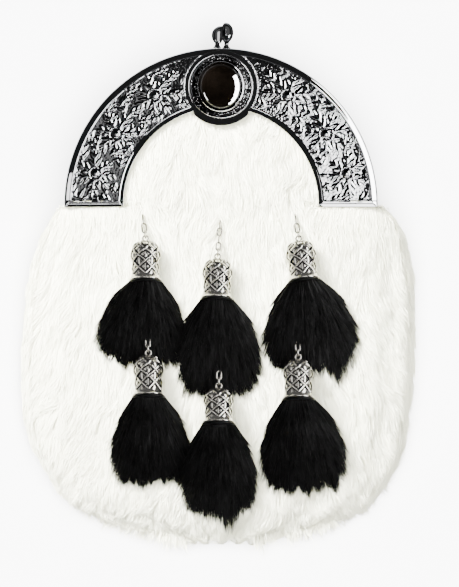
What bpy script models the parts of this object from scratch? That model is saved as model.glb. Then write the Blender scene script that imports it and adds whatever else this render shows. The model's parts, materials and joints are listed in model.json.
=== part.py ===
"""Sporran pouch lying on its back: a leather pouch under white fur, closed by a cast
half-ring cantle with a black stone, and dressed with six black fur tassels.

Lengths are in metres. Each piece is drawn about the centre of the cantle's arcs, with +X to
the right, +Y up towards the clasp and +Z out of the front, and the parent empty then moves
the whole to the middle of its own footprint.
"""

import math

import bmesh
import bpy
from mathutils import Matrix, Vector

MM = 0.001
GAP = 0.3 * MM  # between pieces that touch
ORIGIN = Vector((1.5, 40.4, 0.0)) * MM  # where the arcs' centre stands

# Cantle: the front half ring, cast with its boss
CANTLE_OUTER_R = 78.25 * MM
CANTLE_INNER_R = 48.75 * MM
CANTLE_FACE_Z = 34.0 * MM  # top of its raised borders
CANTLE_FLOOR_Z = 32.4 * MM  # sunk panels that carry the foliage
CANTLE_BEVEL_Z = 31.6 * MM  # foot of the sloping rims
CANTLE_BACK_Z = 29.0 * MM
FRAME_MEET_Z = 24.0 * MM  # the cantle's skirt and the back frame close here
SKIRT_WALL = 2.6 * MM
FOOT_Y = -0.8 * MM  # the feet end just under the arcs' centre
BORDER_W = 2.2 * MM  # rim slope at the inner and outer edge
LINE_W = 1.0 * MM  # flat top of each border
BOSS_Y = 59.05 * MM
BOSS_R = 19.35 * MM
STONE_HALF = (10.4 * MM, 11.4 * MM)
STONE_TOP_Z = 41.5 * MM
STONE_SEAT_Z = 34.6 * MM
STONE_GIRDLE_Z = 36.0 * MM  # the stone's side is upright up to here
RING_STEPS = 36
RING_START = math.radians(5.0)  # from here up the sections stand square to the arcs
FOOT_ROWS = [
    # height over the foot's end, panel floor, how far the face lies below its full height
    (0.0 * MM, CANTLE_BEVEL_Z, CANTLE_FACE_Z - CANTLE_BEVEL_Z),
    (1.8 * MM, CANTLE_FACE_Z, 0.0),
    (2.8 * MM, CANTLE_FACE_Z, 0.0),
    (3.8 * MM, CANTLE_FLOOR_Z, 0.0),
]
LEAF_PAIRS = 7  # up each panel
LEAF_START = 13.0  # degrees up from the foot
LEAF_STEP = 8.3
LEAF_HEIGHT = 1.3 * MM
LEAF_KINDS = [
    # out from the panel's middle, turn, length, width, lobes
    (4.6, 0.9, 12.5, 8.4, 4),
    (-6.0, -0.5, 6.0, 6.0, 3),
]

# Purse: leather walls and the frame behind
LEATHER = 2.0 * MM
BACK_FRAME_R = (72.4 * MM, 78.0 * MM)
BACK_HIGH_Z = 7.0 * MM  # the back stands off its belt loops at the top
BACK_PANEL_R = 77.5 * MM
FRONT_PANEL_R = 75.3 * MM
FRONT_PANEL_Z = 26.5 * MM
POUCH_HALF_W = 85.0 * MM
POUCH_WIDEST_Y = -70.0 * MM
POUCH_BOTTOM_Y = -147.0 * MM
GUSSET_TOP_Y = -7.6 * MM
ARC_ROW_ANGLES = (8.0, 22.0, 36.0, 50.0, 64.0, 78.0)  # a panel's rows above the arcs' centre
PANEL_ROWS = [-4.5, -8.0, -14.0, -26.0, -38.0, -50.0, -62.0, -76.0, -92.0, -108.0, -121.0,
              -131.0, -138.5, -143.5, -146.3]  # its rows below it, in mm
HINGE_R = 2.4 * MM
HINGE_LENGTH = 5.0 * MM
HINGE_X = 75.8 * MM
HINGE_Z = 19.2 * MM

# Belt loops on the back
LOOP_X = 45.0 * MM
LOOP_WIDTH = 16.0 * MM
LOOP_Y = (8.0 * MM, 40.0 * MM)
LOOP_FOOT = 5.0 * MM
LOOP_BAND = 2.2 * MM
LOOP_SOFT = 1.5 * MM

# White fur: its outline from above, as the depth down and the reach to each side
FUR_RIM_Z = 5.0 * MM
FUR_TUCK_R = 58.0 * MM  # the pelt's edge is held behind the cantle this far out
FUR_OUTLINE = [
    # y, left, right, crest height, squareness
    (-1.3, 81.0, 81.0, 30.6, 9.0),
    (-7.5, 85.0, 87.0, 31.0, 6.5),
    (-12.5, 88.0, 90.5, 31.5, 4.6),
    (-22.5, 93.0, 93.5, 32.5, 3.4),
    (-35.0, 96.0, 96.5, 33.2, 3.0),
    (-50.0, 98.0, 96.5, 34.0, 2.8),
    (-67.5, 99.0, 97.0, 34.0, 2.7),
    (-87.5, 100.0, 96.5, 33.6, 2.7),
    (-102.5, 99.0, 94.5, 32.6, 2.7),
    (-112.5, 97.5, 93.0, 31.4, 2.7),
    (-122.5, 94.5, 92.0, 29.6, 2.7),
    (-132.5, 88.0, 87.5, 28.4, 2.7),
    (-142.5, 82.0, 81.0, 26.4, 2.6),
    (-147.5, 78.0, 77.0, 25.0, 2.5),
    (-152.5, 71.0, 72.5, 22.4, 2.4),
    (-157.5, 61.0, 63.0, 19.2, 2.3),
    (-162.5, 49.5, 52.0, 15.6, 2.2),
    (-167.0, 34.0, 34.0, 12.0, 2.1),
    (-170.5, 20.0, 22.0, 9.0, 2.0),
]
FUR_ROWS = [-1.3, -4.5, -8.0, -14.0, -26.0, -38.0, -50.0, -62.0, -76.0, -92.0, -108.0, -121.0,
            -131.0, -138.5, -143.5, -147.4, -149.5, -153.5, -158.0, -162.5, -167.0, -170.5]
FUR_COLUMNS = 17
FUR_GROOVE = 1.8 * MM
FUR_TUFT = 1.0 * MM
FUR_TIP = 3.0 * MM

# Tassels: where each chain starts, its cone's top and rim, and its brush of fur
TASSELS = [
    # name, chain top, cone top, cone rim, brush end, half width, lift, links
    ("1", (-39.2, -5.0), (-37.6, -18.0), (-37.5, -38.0), (-41.2, -80.5), 20.4, 0.0, 2),
    ("2", (-0.4, -8.0), (-1.6, -27.0), (-2.0, -47.0), (-0.8, -96.0), 19.0, 0.0, 4),
    ("3", (37.0, -5.0), (39.0, -18.0), (41.4, -37.8), (46.0, -84.5), 22.5, 0.0, 2),
    ("4", (-36.6, -66.5), (-36.2, -75.0), (-36.0, -95.4), (-36.6, -141.0), 17.4, 2.4, 1),
    ("5", (-1.0, -83.0), (-1.1, -91.4), (-1.2, -108.8), (-1.4, -156.0), 17.2, 2.4, 1),
    ("6", (38.2, -68.5), (38.4, -77.0), (38.6, -96.8), (40.6, -144.6), 20.4, 2.4, 1),
]
CONE_TILT = math.radians(11.0)  # the brush lifts the open end off the pelt
CONE_SIDES = 12
CONE_PROFILE = [
    # height above the rim, outer radius
    (0.0, 8.0),
    (4.5, 6.5),
    (9.0, 6.5),
    (13.5, 7.25),
    (18.0, 5.0),
    (20.0, 1.4),
]
CONE_WALL = 1.0 * MM
CONE_BORE_TOP = 8.0 * MM
CONE_BULGE = (13.5 * MM, 7.25 * MM)
EYE_R = 1.4 * MM
WIRE_R = 0.45 * MM
RING_R = 1.85 * MM
LINK_ROUND = 1.1 * MM
CHAIN_ON_PELT = 1.6 * MM  # height of a chain's upper end over the pelt
CHAIN_ON_BRUSH = 7.2 * MM  # the same where the chain lies on the tassel above
LINK_BITE = 0.12 * MM  # neighbouring wires press into each other this far
BRUSH_NECK = ((4.6, 4.6), (0.5, 5.5))  # depth inside the cone and radius, in mm
BRUSH_PROFILE = [
    # share of the length, share of the half width, underside, top, above the pelt in mm
    (0.16, 0.62, 1.6, 15.6),
    (0.38, 0.95, 0.5, 12.4),
    (0.62, 1.00, 0.5, 7.4),
    (0.80, 0.88, 0.5, 3.4),
    (0.93, 0.66, 0.5, 2.0),
]
BRUSH_COLUMNS = 9
BRUSH_TIP = 0.7 * MM  # thickness of the brush at its tips
BRUSH_TIP_SHARE = 0.985  # of the length, where the tips' ring lies
BRUSH_TIP_WIDE = 0.44
BRUSH_TIP_LOW = 0.5 * MM
BRUSH_GROOVE = 0.9 * MM
LOCK_TIPS = (0.9 * MM, -2.2 * MM)  # how much further down every other lock ends


def smooth(t):
    t = min(1.0, max(0.0, t))
    return t * t * (3.0 - 2.0 * t)


def between(rows, key, column):
    """Reads a column of a table that runs down or up in its first column."""
    up = rows[0][0] < rows[-1][0]
    ordered = rows if up else rows[::-1]
    if key <= ordered[0][0]:
        return ordered[0][column]
    for low, high in zip(ordered, ordered[1:]):
        if key <= high[0]:
            share = (key - low[0]) / (high[0] - low[0])
            return low[column] + share * (high[column] - low[column])
    return ordered[-1][column]


# ---------- Mesh helpers ----------

def finish_mesh(name, bm, material, sharp=35.0):
    """Turns a closed bmesh into an object under the sporran's empty."""
    bmesh.ops.recalc_face_normals(bm, faces=bm.faces[:])
    if bm.calc_volume(signed=True) < 0.0:
        bmesh.ops.reverse_faces(bm, faces=bm.faces[:])
    mesh = bpy.data.meshes.new(name)
    bm.to_mesh(mesh)
    bm.free()
    mesh.shade_smooth()
    mesh.set_sharp_from_angle(angle=math.radians(sharp))
    piece = bpy.data.objects.new(name, mesh)
    if material:
        mesh.materials.append(material)
    parts.objects.link(piece)
    piece.parent = centre
    return piece


def loft(bm, rings, cap="fan"):
    """Skins rings of equal length into a closed body, its ends fans or strips."""
    rows = [[bm.verts.new(p) for p in ring] for ring in rings]
    count = len(rows[0])
    for upper, lower in zip(rows, rows[1:]):
        for i in range(count):
            j = (i + 1) % count
            bm.faces.new((upper[i], upper[j], lower[j], lower[i]))
    for row in (rows[0], rows[-1]):
        if cap == "strip":  # the ring goes out along one side and comes back along the other
            for i in range(count // 2 - 1):
                bm.faces.new((row[i], row[i + 1], row[count - 2 - i], row[count - 1 - i]))
        else:
            bm.faces.new(row)
    return bm


def lofted(name, rings, material, cap="fan", sharp=35.0):
    bm = bmesh.new()
    loft(bm, rings, cap)
    return finish_mesh(name, bm, material, sharp)


def fuse(piece, extras):
    """Joins the extra pieces to the first with an exact union, and removes them."""
    for extra in extras:
        join = piece.modifiers.new("join", "BOOLEAN")
        join.operation = "UNION"
        join.solver = "EXACT"
        join.object = extra
    bpy.context.view_layer.update()
    whole = piece.evaluated_get(bpy.context.evaluated_depsgraph_get())
    mesh = bpy.data.meshes.new_from_object(whole)
    piece.modifiers.clear()
    piece.data = mesh
    mesh.name = piece.name
    for extra in extras:
        bpy.data.objects.remove(extra)
    return piece


def circle(radius, count, start=0.0):
    step = 2.0 * math.pi / count
    return [(radius * math.cos(start + i * step), radius * math.sin(start + i * step))
            for i in range(count)]


def torus_link(bm, place, half_straight, round_r, wire_r, sides=10, wire_sides=5):
    """A link of two half circles and two straights, in the XY plane of its own frame."""
    rows = []
    for i in range(sides):
        angle = 2.0 * math.pi * (i + 0.5) / sides
        out = Vector((math.cos(angle), math.sin(angle), 0.0))
        middle = out * round_r + Vector((0.0, math.copysign(half_straight, out.y), 0.0))
        rows.append([place @ (middle + out * (wire_r * c) + Vector((0.0, 0.0, wire_r * s)))
                     for c, s in circle(1.0, wire_sides)])
    verts = [[bm.verts.new(p) for p in row] for row in rows]
    for i in range(sides):
        this, after = verts[i], verts[(i + 1) % sides]
        for k in range(wire_sides):
            m = (k + 1) % wire_sides
            bm.faces.new((this[k], this[m], after[m], after[k]))


def axis_frame(at, along, face):
    """A frame at a point with Y along a direction and Z near the face direction."""
    y = along.normalized()
    x = y.cross(face).normalized()
    z = x.cross(y)
    turn = Matrix((x, y, z)).transposed().to_4x4()
    return Matrix.Translation(at) @ turn


# ---------- Forms that several pieces share ----------

def pouch_half_width(y, upper_r):
    """Half the leather's width: the frame's circle above, then a full rounded bag."""
    if y >= 0.0:
        return math.sqrt(max(0.0, upper_r ** 2 - y ** 2))
    if y > POUCH_WIDEST_Y:
        swell = math.sin(0.5 * math.pi * y / POUCH_WIDEST_Y)
        return upper_r + (POUCH_HALF_W - upper_r) * swell
    depth = min(1.0, (POUCH_WIDEST_Y - y) / (POUCH_WIDEST_Y - POUCH_BOTTOM_Y))
    return POUCH_HALF_W * (1.0 - depth ** 2.6) ** (1.0 / 2.2)


def front_leather_z(x, y):
    """Outer face of the front panel: flat behind the cantle, domed below it."""
    if y >= 0.0:
        return FRONT_PANEL_Z
    edge = FRONT_PANEL_Z - 8.5 * MM * smooth(-y / (16.0 * MM))
    fall = smooth((-y - 90.0 * MM) / (60.0 * MM))
    crest = FRONT_PANEL_Z + 1.2 * MM * smooth(-y / (30.0 * MM)) - 8.0 * MM * fall
    edge -= 2.0 * MM * fall
    half = max(pouch_half_width(y, FRONT_PANEL_R), 1.0 * MM)
    return edge + (crest - edge) * (1.0 - min(1.0, abs(x) / half) ** 3.0)


def back_leather_z(y):
    """Outer face of the back panel: flat on the ground below, raised over the loops."""
    return BACK_HIGH_Z * smooth((y + 60.0 * MM) / (46.0 * MM))


def fur_row(y):
    """Left reach, right reach, crest and squareness of the pelt at a height."""
    return [between(FUR_OUTLINE, y / MM, column) for column in (1, 2, 3, 4)]


def pelt_z(x, y):
    """Top of the pelt below the cantle."""
    left, right, crest, square = fur_row(y)
    reach = (left if x < 0.0 else right) * MM
    share = min(1.0, abs(x) / reach)
    return FUR_RIM_Z + (crest * MM - FUR_RIM_Z) * (1.0 - share ** square) ** (1.0 / square)


# ---------- Cantle ----------

def arc_place(angle, radius, z):
    """A point of the half ring."""
    return Vector((radius * math.cos(angle), radius * math.sin(angle), z))


def cantle_section(floor_z, rim_drop):
    """Radius and height round the cantle's section, from the skirt over the face."""
    outer, inner = CANTLE_OUTER_R, CANTLE_INNER_R
    face = CANTLE_FACE_Z - rim_drop
    return [
        (outer, FRAME_MEET_Z),
        (outer, CANTLE_BEVEL_Z),
        (outer - BORDER_W, face),
        (outer - BORDER_W - LINE_W, face),
        (outer - BORDER_W - 2.0 * LINE_W, floor_z),
        (inner + BORDER_W + 2.0 * LINE_W, floor_z),
        (inner + BORDER_W + LINE_W, face),
        (inner + BORDER_W, face),
        (inner, CANTLE_BEVEL_Z),
        (inner, CANTLE_BACK_Z),
        (outer - SKIRT_WALL, CANTLE_BACK_Z),
        (outer - SKIRT_WALL, FRAME_MEET_Z),
    ]


def foot_section(side, row):
    """A level section near a foot, on the same circles as the rest of the ring."""
    up, floor_z, drop = row
    y = FOOT_Y + up
    return [Vector((side * math.sqrt(r * r - max(0.0, y) ** 2), y, z))
            for r, z in cantle_section(floor_z, drop)]


def cantle_ring():
    """The half ring with its sunk panel, closed by a raised border at each foot."""
    rings = [foot_section(1.0, row) for row in FOOT_ROWS]
    for i in range(RING_STEPS + 1):
        angle = RING_START + (math.pi - 2.0 * RING_START) * i / RING_STEPS
        rings.append([arc_place(angle, r, z) for r, z in cantle_section(CANTLE_FLOOR_Z, 0.0)])
    rings += [foot_section(-1.0, row) for row in FOOT_ROWS[::-1]]
    return lofted("cantle", rings, silver)


def boss():
    """The round boss with its ring line and the oval bezel round the stone."""
    wide, tall = STONE_HALF
    seat = 0.25 * MM  # the bezel stands this clear of the stone
    rows = [
        # half width, half height, level
        (BOSS_R, BOSS_R, CANTLE_BACK_Z + 0.3 * MM),
        (BOSS_R, BOSS_R, 33.0 * MM),
        (BOSS_R - 1.2 * MM, BOSS_R - 1.2 * MM, 34.8 * MM),
        (16.6 * MM, 16.6 * MM, 34.8 * MM),
        (15.8 * MM, 15.8 * MM, 35.6 * MM),
        (15.0 * MM, 15.0 * MM, 34.6 * MM),
        (wide + 2.2 * MM, tall + 2.2 * MM, 34.6 * MM),
        (wide + 1.4 * MM, tall + 1.4 * MM, 36.6 * MM),
        (wide + seat + 0.1 * MM, tall + seat + 0.1 * MM, 36.6 * MM),
        (wide + seat, tall + seat, STONE_SEAT_Z - GAP),
    ]
    rings = [[Vector((a * c, BOSS_Y + b * s, z)) for c, s in circle(1.0, 28)]
             for a, b, z in rows]
    return lofted("boss", rings, silver)


def leaf(at, turn, length, width, lobes, height):
    """A lobed leaf or round head, raised to one point and sunk a little into the panel."""
    count = 2 * lobes
    low, high = [], []
    for i in range(count):
        angle = 2.0 * math.pi * i / count
        reach = 1.0 if i % 2 == 0 else 0.62
        x = 0.5 * width * reach * math.sin(angle)
        y = 0.5 * length * reach * math.cos(angle)
        low.append(Vector((x, y, -0.7 * MM)))
        high.append(Vector((0.9 * x, 0.9 * y, 0.35 * MM)))
    place = Matrix.Translation(at) @ Matrix.Rotation(turn, 4, "Z")
    bm = bmesh.new()
    bottom = [bm.verts.new(place @ p) for p in low]
    rim = [bm.verts.new(place @ p) for p in high]
    tip = bm.verts.new(place @ Vector((0.0, 0.1 * length, height)))
    bm.faces.new(bottom)
    for i in range(count):
        j = (i + 1) % count
        bm.faces.new((bottom[i], bottom[j], rim[j], rim[i]))
        bm.faces.new((rim[i], rim[j], tip))
    return finish_mesh("leaf", bm, silver)


def foliage():
    """Leaves either side of a winding stem, with a round thistle head in each bend."""
    pieces = []
    middle = 0.5 * (CANTLE_INNER_R + CANTLE_OUTER_R)
    for k in range(LEAF_PAIRS):
        angle = math.radians(LEAF_START + LEAF_STEP * k)
        swing = 1.0 if k % 2 == 0 else -1.0
        for out, turn, length, width, lobes in LEAF_KINDS:
            radius = middle + out * swing * MM
            for side in (-1.0, 1.0):
                at = arc_place(angle, radius, CANTLE_FLOOR_Z)
                at.x *= side
                facing = angle + turn * swing
                if side < 0.0:
                    facing = math.pi - facing
                pieces.append(leaf(at, facing, length * MM, width * MM, lobes, LEAF_HEIGHT))
    return pieces


def cantle():
    ring = cantle_ring()
    return fuse(ring, [boss()] + foliage())


def stone():
    """A domed oval stone standing in the bezel."""
    wide, tall = STONE_HALF
    rows = [(1.0, STONE_SEAT_Z), (1.0, STONE_GIRDLE_Z)]
    rise = STONE_TOP_Z - STONE_GIRDLE_Z
    for k in range(1, 5):
        angle = math.radians(20.0 * k)
        rows.append((math.cos(angle), STONE_GIRDLE_Z + rise * math.sin(angle)))
    rings = [[Vector((wide * share * c, BOSS_Y + tall * share * s, z))
              for c, s in circle(1.0, 20)] for share, z in rows]
    return lofted("stone", rings, black_glass)


# ---------- Clasp, back frame and hinges ----------

def clasp(name, x_foot, x_head, top_y, z_foot, z_head):
    """One head of the kiss lock: a flared foot, a stem and a long oval head."""
    foot_y = CANTLE_OUTER_R + 1.2 * GAP
    head_half = 0.5 * (top_y - foot_y - 3.6 * MM)
    rows = [
        # height above the foot, radius across, radius in depth
        (0.0, 1.9, 2.2),
        (1.0, 1.3, 1.5),
        (3.0, 1.2, 1.5),
    ]
    rings = []
    for up, wide, deep in rows:
        share = up * MM / (top_y - foot_y)
        rings.append((foot_y + up * MM, wide * MM, deep * MM, share))
    for k in range(5):
        angle = math.radians(-60.0 + 35.0 * k)
        y = top_y - head_half + head_half * math.sin(angle)
        rings.append((y, 2.4 * MM * math.cos(angle), 3.2 * MM * math.cos(angle),
                      (y - foot_y) / (top_y - foot_y)))
    body = []
    for y, wide, deep, share in rings:
        x = x_foot + (x_head - x_foot) * smooth(2.0 * share)
        z = z_foot + (z_head - z_foot) * smooth(2.0 * share)
        body.append([Vector((x + wide * c, y, z + deep * s)) for c, s in circle(1.0, 10)])
    return lofted(name, body, silver)


def back_frame():
    """The plain half ring that closes the purse behind the cantle."""
    inner, outer = BACK_FRAME_R
    low = BACK_HIGH_Z + LEATHER + GAP
    high = FRAME_MEET_Z - GAP
    soft = 1.2 * MM
    section = [
        (outer - soft, low), (outer, low + soft), (outer, high),
        (inner, high), (inner, low),
    ]
    rings = [[Vector((r, FOOT_Y, z)) for r, z in section]]
    for i in range(25):
        rings.append([arc_place(math.pi * i / 24, r, z) for r, z in section])
    rings.append([Vector((-r, FOOT_Y, z)) for r, z in section])
    return lofted("back_frame", rings, silver)


def hinge(name, side):
    """A plain barrel under the two frames' feet, lying across the pouch."""
    y = FOOT_Y - GAP - HINGE_R
    rings = []
    for x in (-0.5 * HINGE_LENGTH, 0.5 * HINGE_LENGTH):
        rings.append([Vector((side * HINGE_X + x, y + c, HINGE_Z + s))
                      for c, s in circle(HINGE_R, 12)])
    return lofted(name, rings, silver)


# ---------- Leather ----------

def row_heights(upper_r):
    """Heights of the rows across a panel, closer where its outline turns."""
    heights = [upper_r * math.cos(math.radians(a)) for a in ARC_ROW_ANGLES]
    return heights + [0.0] + [y * MM for y in PANEL_ROWS]


def panel(name, upper_r, outer_z, thickness):
    """A leather wall with the pouch's outline; its thickness is laid off along Z."""
    columns = 7
    rings = []
    for y in row_heights(upper_r):
        half = pouch_half_width(y, upper_r)
        xs = [half * math.sin(0.5 * math.pi * (2.0 * i / (columns - 1) - 1.0))
              for i in range(columns)]
        face = [Vector((x, y, outer_z(x, y))) for x in xs]
        back = [Vector((p.x, p.y, p.z + thickness)) for p in face[::-1]]
        rings.append(face + back)
    return lofted(name, rings, leather, cap="strip")


def gusset():
    """The strip of leather between the two panels, from hinge to hinge round the bottom."""
    ys = [GUSSET_TOP_Y] + [y * MM for y in PANEL_ROWS[2:]]
    right = [Vector((pouch_half_width(y, FRONT_PANEL_R), y, 0.0)) for y in ys]
    path = right + [Vector((-p.x, p.y, 0.0)) for p in right[::-1]]
    rings = []
    for i, p in enumerate(path):
        before, after = path[max(0, i - 1)], path[min(len(path) - 1, i + 1)]
        along = (after - before).normalized()
        inward = Vector((along.y, -along.x, 0.0)) * LEATHER
        outer, inner = p - inward * 0.05, p + inward
        low = back_leather_z(p.y) + LEATHER + GAP
        high = min(front_leather_z(outer.x, p.y), front_leather_z(p.x * 0.999, p.y))
        high -= LEATHER + GAP
        rings.append([
            Vector((outer.x, outer.y, low)), Vector((outer.x, outer.y, high)),
            Vector((inner.x, inner.y, high)), Vector((inner.x, inner.y, low)),
        ])
    return lofted("gusset", rings, leather)


def belt_loop(name, x):
    """A flat leather bridge on the back that a belt passes through."""
    low, high = 0.0, BACK_HIGH_Z - GAP
    start, end = LOOP_Y
    outline = [
        (start, high), (start, low + LOOP_SOFT), (start + LOOP_SOFT, low), (end - LOOP_SOFT, low),
        (end, low + LOOP_SOFT), (end, high), (end - LOOP_FOOT, high),
        (end - LOOP_FOOT, low + LOOP_BAND), (start + LOOP_FOOT, low + LOOP_BAND),
        (start + LOOP_FOOT, high),
    ]
    rings = [[Vector((x + dx, y, z)) for y, z in outline]
             for dx in (-0.5 * LOOP_WIDTH, 0.5 * LOOP_WIDTH)]
    return lofted(name, rings, leather)


# ---------- Fur ----------

def open_arc_z(x, y):
    """Top of the pelt inside the arc: tucked flat at its edge, fuller in the middle."""
    clear = min(CANTLE_INNER_R - math.hypot(x, y), math.hypot(x, y - BOSS_Y) - BOSS_R)
    flat = CANTLE_BACK_Z - 2.0 * GAP
    return flat + 3.2 * MM * smooth((clear - 4.5 * MM) / (8.0 * MM))


def fur_section(y, shorten):
    """One section across the pelt: over the fur, then back under it along the leather."""
    half_count = FUR_COLUMNS - 1
    over, under = [], []
    if y > FOOT_Y - 0.2 * MM:
        half = math.sqrt(FUR_TUCK_R ** 2 - y ** 2)
        for i in range(FUR_COLUMNS):
            x = half * math.sin(0.5 * math.pi * (2.0 * i / half_count - 1.0))
            over.append(Vector((x, y, open_arc_z(x, y))))
            under.append(Vector((x, y, FRONT_PANEL_Z + GAP)))
        return over + under[::-1]
    left, right, crest, square = fur_row(y)
    for i in range(FUR_COLUMNS):
        angle = math.pi * (1.0 - i / half_count)
        c, s = math.cos(angle), math.sin(angle)
        reach = (left if c < 0.0 else right) * MM
        x = math.copysign(reach * abs(c) ** (2.0 / square), c)
        z = FUR_RIM_Z + (crest * MM - FUR_RIM_Z) * abs(s) ** (2.0 / square)
        low = i % 2
        tuft = (i // 2 + int(-y / (22.0 * MM))) % 2
        sink = (FUR_GROOVE * low + FUR_TUFT * tuft) * smooth((-y - 12.0 * MM) / (20.0 * MM))
        sink = min(sink, 0.4 * (z - FUR_RIM_Z))
        tip = Vector((0.0, -FUR_TIP * (1 - low) * shorten, 0.0))
        over.append(Vector((x * (1.0 - 0.012 * low), y, z - sink)) + tip)
        under.append(fur_lining(i, y, x) + tip)
    return over + under[::-1]


def fur_lining(i, y, outer_x):
    """A point under the pelt: up the gusset's side and across the front panel."""
    climb = (0.0, 0.5, 0.82)  # shares of the side's height, clear of the hinge
    last = FUR_COLUMNS - 1
    foot_z = FUR_RIM_Z - 1.0 * MM
    if y < POUCH_BOTTOM_Y - 0.5 * MM:
        return Vector((outer_x * 0.95, y, foot_z))
    leather_y = max(y, PANEL_ROWS[-1] * MM)
    room = 2.0 * GAP + 1.2 * MM * smooth((-y - 90.0 * MM) / (40.0 * MM))
    half = pouch_half_width(leather_y, BACK_PANEL_R) + room
    if y > GUSSET_TOP_Y - 1.0 * MM:
        half = max(half, HINGE_X + 0.5 * HINGE_LENGTH + GAP)
    front_half = pouch_half_width(leather_y, FRONT_PANEL_R) + room
    step = min(i, last - i)
    if step < len(climb):
        side = -1.0 if i < len(climb) else 1.0
        edge = front_leather_z(front_half, leather_y) + 3.0 * GAP
        return Vector((side * half, y, foot_z + (edge - foot_z) * climb[step]))
    share = 2.0 * (i - len(climb)) / (last - 2.0 * len(climb)) - 1.0
    x = front_half * math.sin(0.5 * math.pi * share)
    return Vector((x, y, front_leather_z(x, leather_y) + 3.0 * GAP))


def fur_shelf(ring):
    """The pelt's shoulder under the feet: the first full section, pressed flat."""
    shelf_z = FRONT_PANEL_Z + 3.0 * GAP
    y = FOOT_Y - GAP
    flat = []
    for k, p in enumerate(ring):
        if k < FUR_COLUMNS:
            z = shelf_z + 0.5 * MM + 0.04 * (p.z - FUR_RIM_Z)
        else:
            z = shelf_z + 0.02 * (p.z - shelf_z)
        flat.append(Vector((p.x, y, z)))
    return flat


def fur_pelt():
    """The white fur: tucked behind the cantle, wrapped round the pouch, ragged below."""
    open_rows = [FUR_TUCK_R * math.cos(math.radians(a)) for a in (16, 34, 48, 60, 72, 82)]
    rings = [fur_section(y, 0.0) for y in open_rows]
    rings.append(fur_section(FOOT_Y - 0.1 * MM, 0.0))
    below = []
    for y in [height * MM for height in FUR_ROWS]:
        below.append(fur_section(y, smooth((-y - 150.0 * MM) / (16.0 * MM))))
    rings += [fur_shelf(below[0])] + below
    return lofted("fur_pelt", rings, white_fur, cap="strip", sharp=60.0)


# ---------- Tassels ----------

def tassel_axis(row):
    """Cone top and rim centres in space, with the rim lifted off the pelt."""
    top = Vector(row[2]) * MM
    rim = Vector(row[3]) * MM
    lift = row[6] * MM
    up, bulge_r = CONE_BULGE
    length = (top - rim).length
    seat = rim.lerp(top, up / length)
    bulge_z = pelt_z(seat.x, seat.y) + bulge_r + 1.5 * GAP + lift
    rise = math.tan(CONE_TILT)
    rim_at = Vector((rim.x, rim.y, bulge_z + up * rise))
    top_at = Vector((top.x, top.y, bulge_z - (length - up) * rise))
    return top_at, rim_at


def tassel_cone(row):
    """A bell cap, open below, with the eye that its jump ring goes through."""
    top, rim = tassel_axis(row)
    along = (top - rim).normalized()
    frame = axis_frame(rim, along, Vector((0.0, 0.0, 1.0)))
    scale = (top - rim).length / (CONE_PROFILE[-1][0] * MM)
    rings = [[frame @ Vector((s, CONE_BORE_TOP, c)) for c, s in circle(1.6 * MM, CONE_SIDES)]]
    for up, radius in [row for row in CONE_PROFILE if row[0] * MM < CONE_BORE_TOP][::-1]:
        bore = radius * MM - CONE_WALL
        rings.append([frame @ Vector((s, up * MM, c)) for c, s in circle(bore, CONE_SIDES)])
    for up, radius in CONE_PROFILE:
        rings.append([frame @ Vector((s, up * MM * scale, c))
                      for c, s in circle(radius * MM, CONE_SIDES)])
    cone = lofted("tassel_cone_" + row[0], rings, antique_silver, sharp=40.0)
    bm = bmesh.new()
    eye_at = frame @ Matrix.Translation((0.0, CONE_PROFILE[-1][0] * MM * scale + EYE_R, 0.0))
    torus_link(bm, eye_at, 0.0, EYE_R, WIRE_R)
    return fuse(cone, [finish_mesh("eye", bm, antique_silver)])


def eye_centre(row):
    top, rim = tassel_axis(row)
    return top + (top - rim).normalized() * EYE_R


def brush_point(row, share, across, level):
    """A point of the brush: along its length, across it, and a level above the pelt."""
    top, rim = tassel_axis(row)
    end = Vector(row[4]) * MM
    start = Vector((rim.x, rim.y))
    at = start.lerp(end, share)
    along = (end - start).normalized()
    x = at.x - along.y * across
    y = at.y + along.x * across
    return Vector((x, y, pelt_z(x, y) + level))


def tassel_fur(row):
    """The brush: a neck held in the cone, locks that spread over the pelt, ragged tips."""
    top, rim = tassel_axis(row)
    inward = (top - rim).normalized()
    frame = axis_frame(rim, inward, Vector((0.0, 0.0, 1.0)))
    half_width = row[5] * MM
    lift = row[6] * MM
    last = BRUSH_COLUMNS - 1
    rings = []
    for depth, radius in BRUSH_NECK:
        ring = []
        for i in range(2 * BRUSH_COLUMNS):
            k = i if i <= last else 2 * BRUSH_COLUMNS - 1 - i
            angle = math.pi * (0.04 + 0.92 * k / last)
            face = 1.0 if i <= last else -1.0
            ring.append(frame @ Vector((radius * MM * math.cos(angle), depth * MM,
                                        face * radius * MM * math.sin(angle))))
        rings.append(ring)
    for share, wide, low, high in BRUSH_PROFILE:
        fade = 1.0 - 0.75 * smooth((share - 0.55) / 0.35)
        low_z, high_z = (low * MM + lift * fade), (high * MM + lift * fade)
        rings.append(brush_ring(row, share, wide * half_width, low_z, high_z))
    tip_low = BRUSH_TIP_LOW + 0.25 * lift
    rings.append(brush_ring(row, BRUSH_TIP_SHARE, BRUSH_TIP_WIDE * half_width, tip_low,
                            tip_low + BRUSH_TIP))
    return lofted("tassel_fur_" + row[0], rings, black_fur, cap="strip", sharp=50.0)


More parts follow.
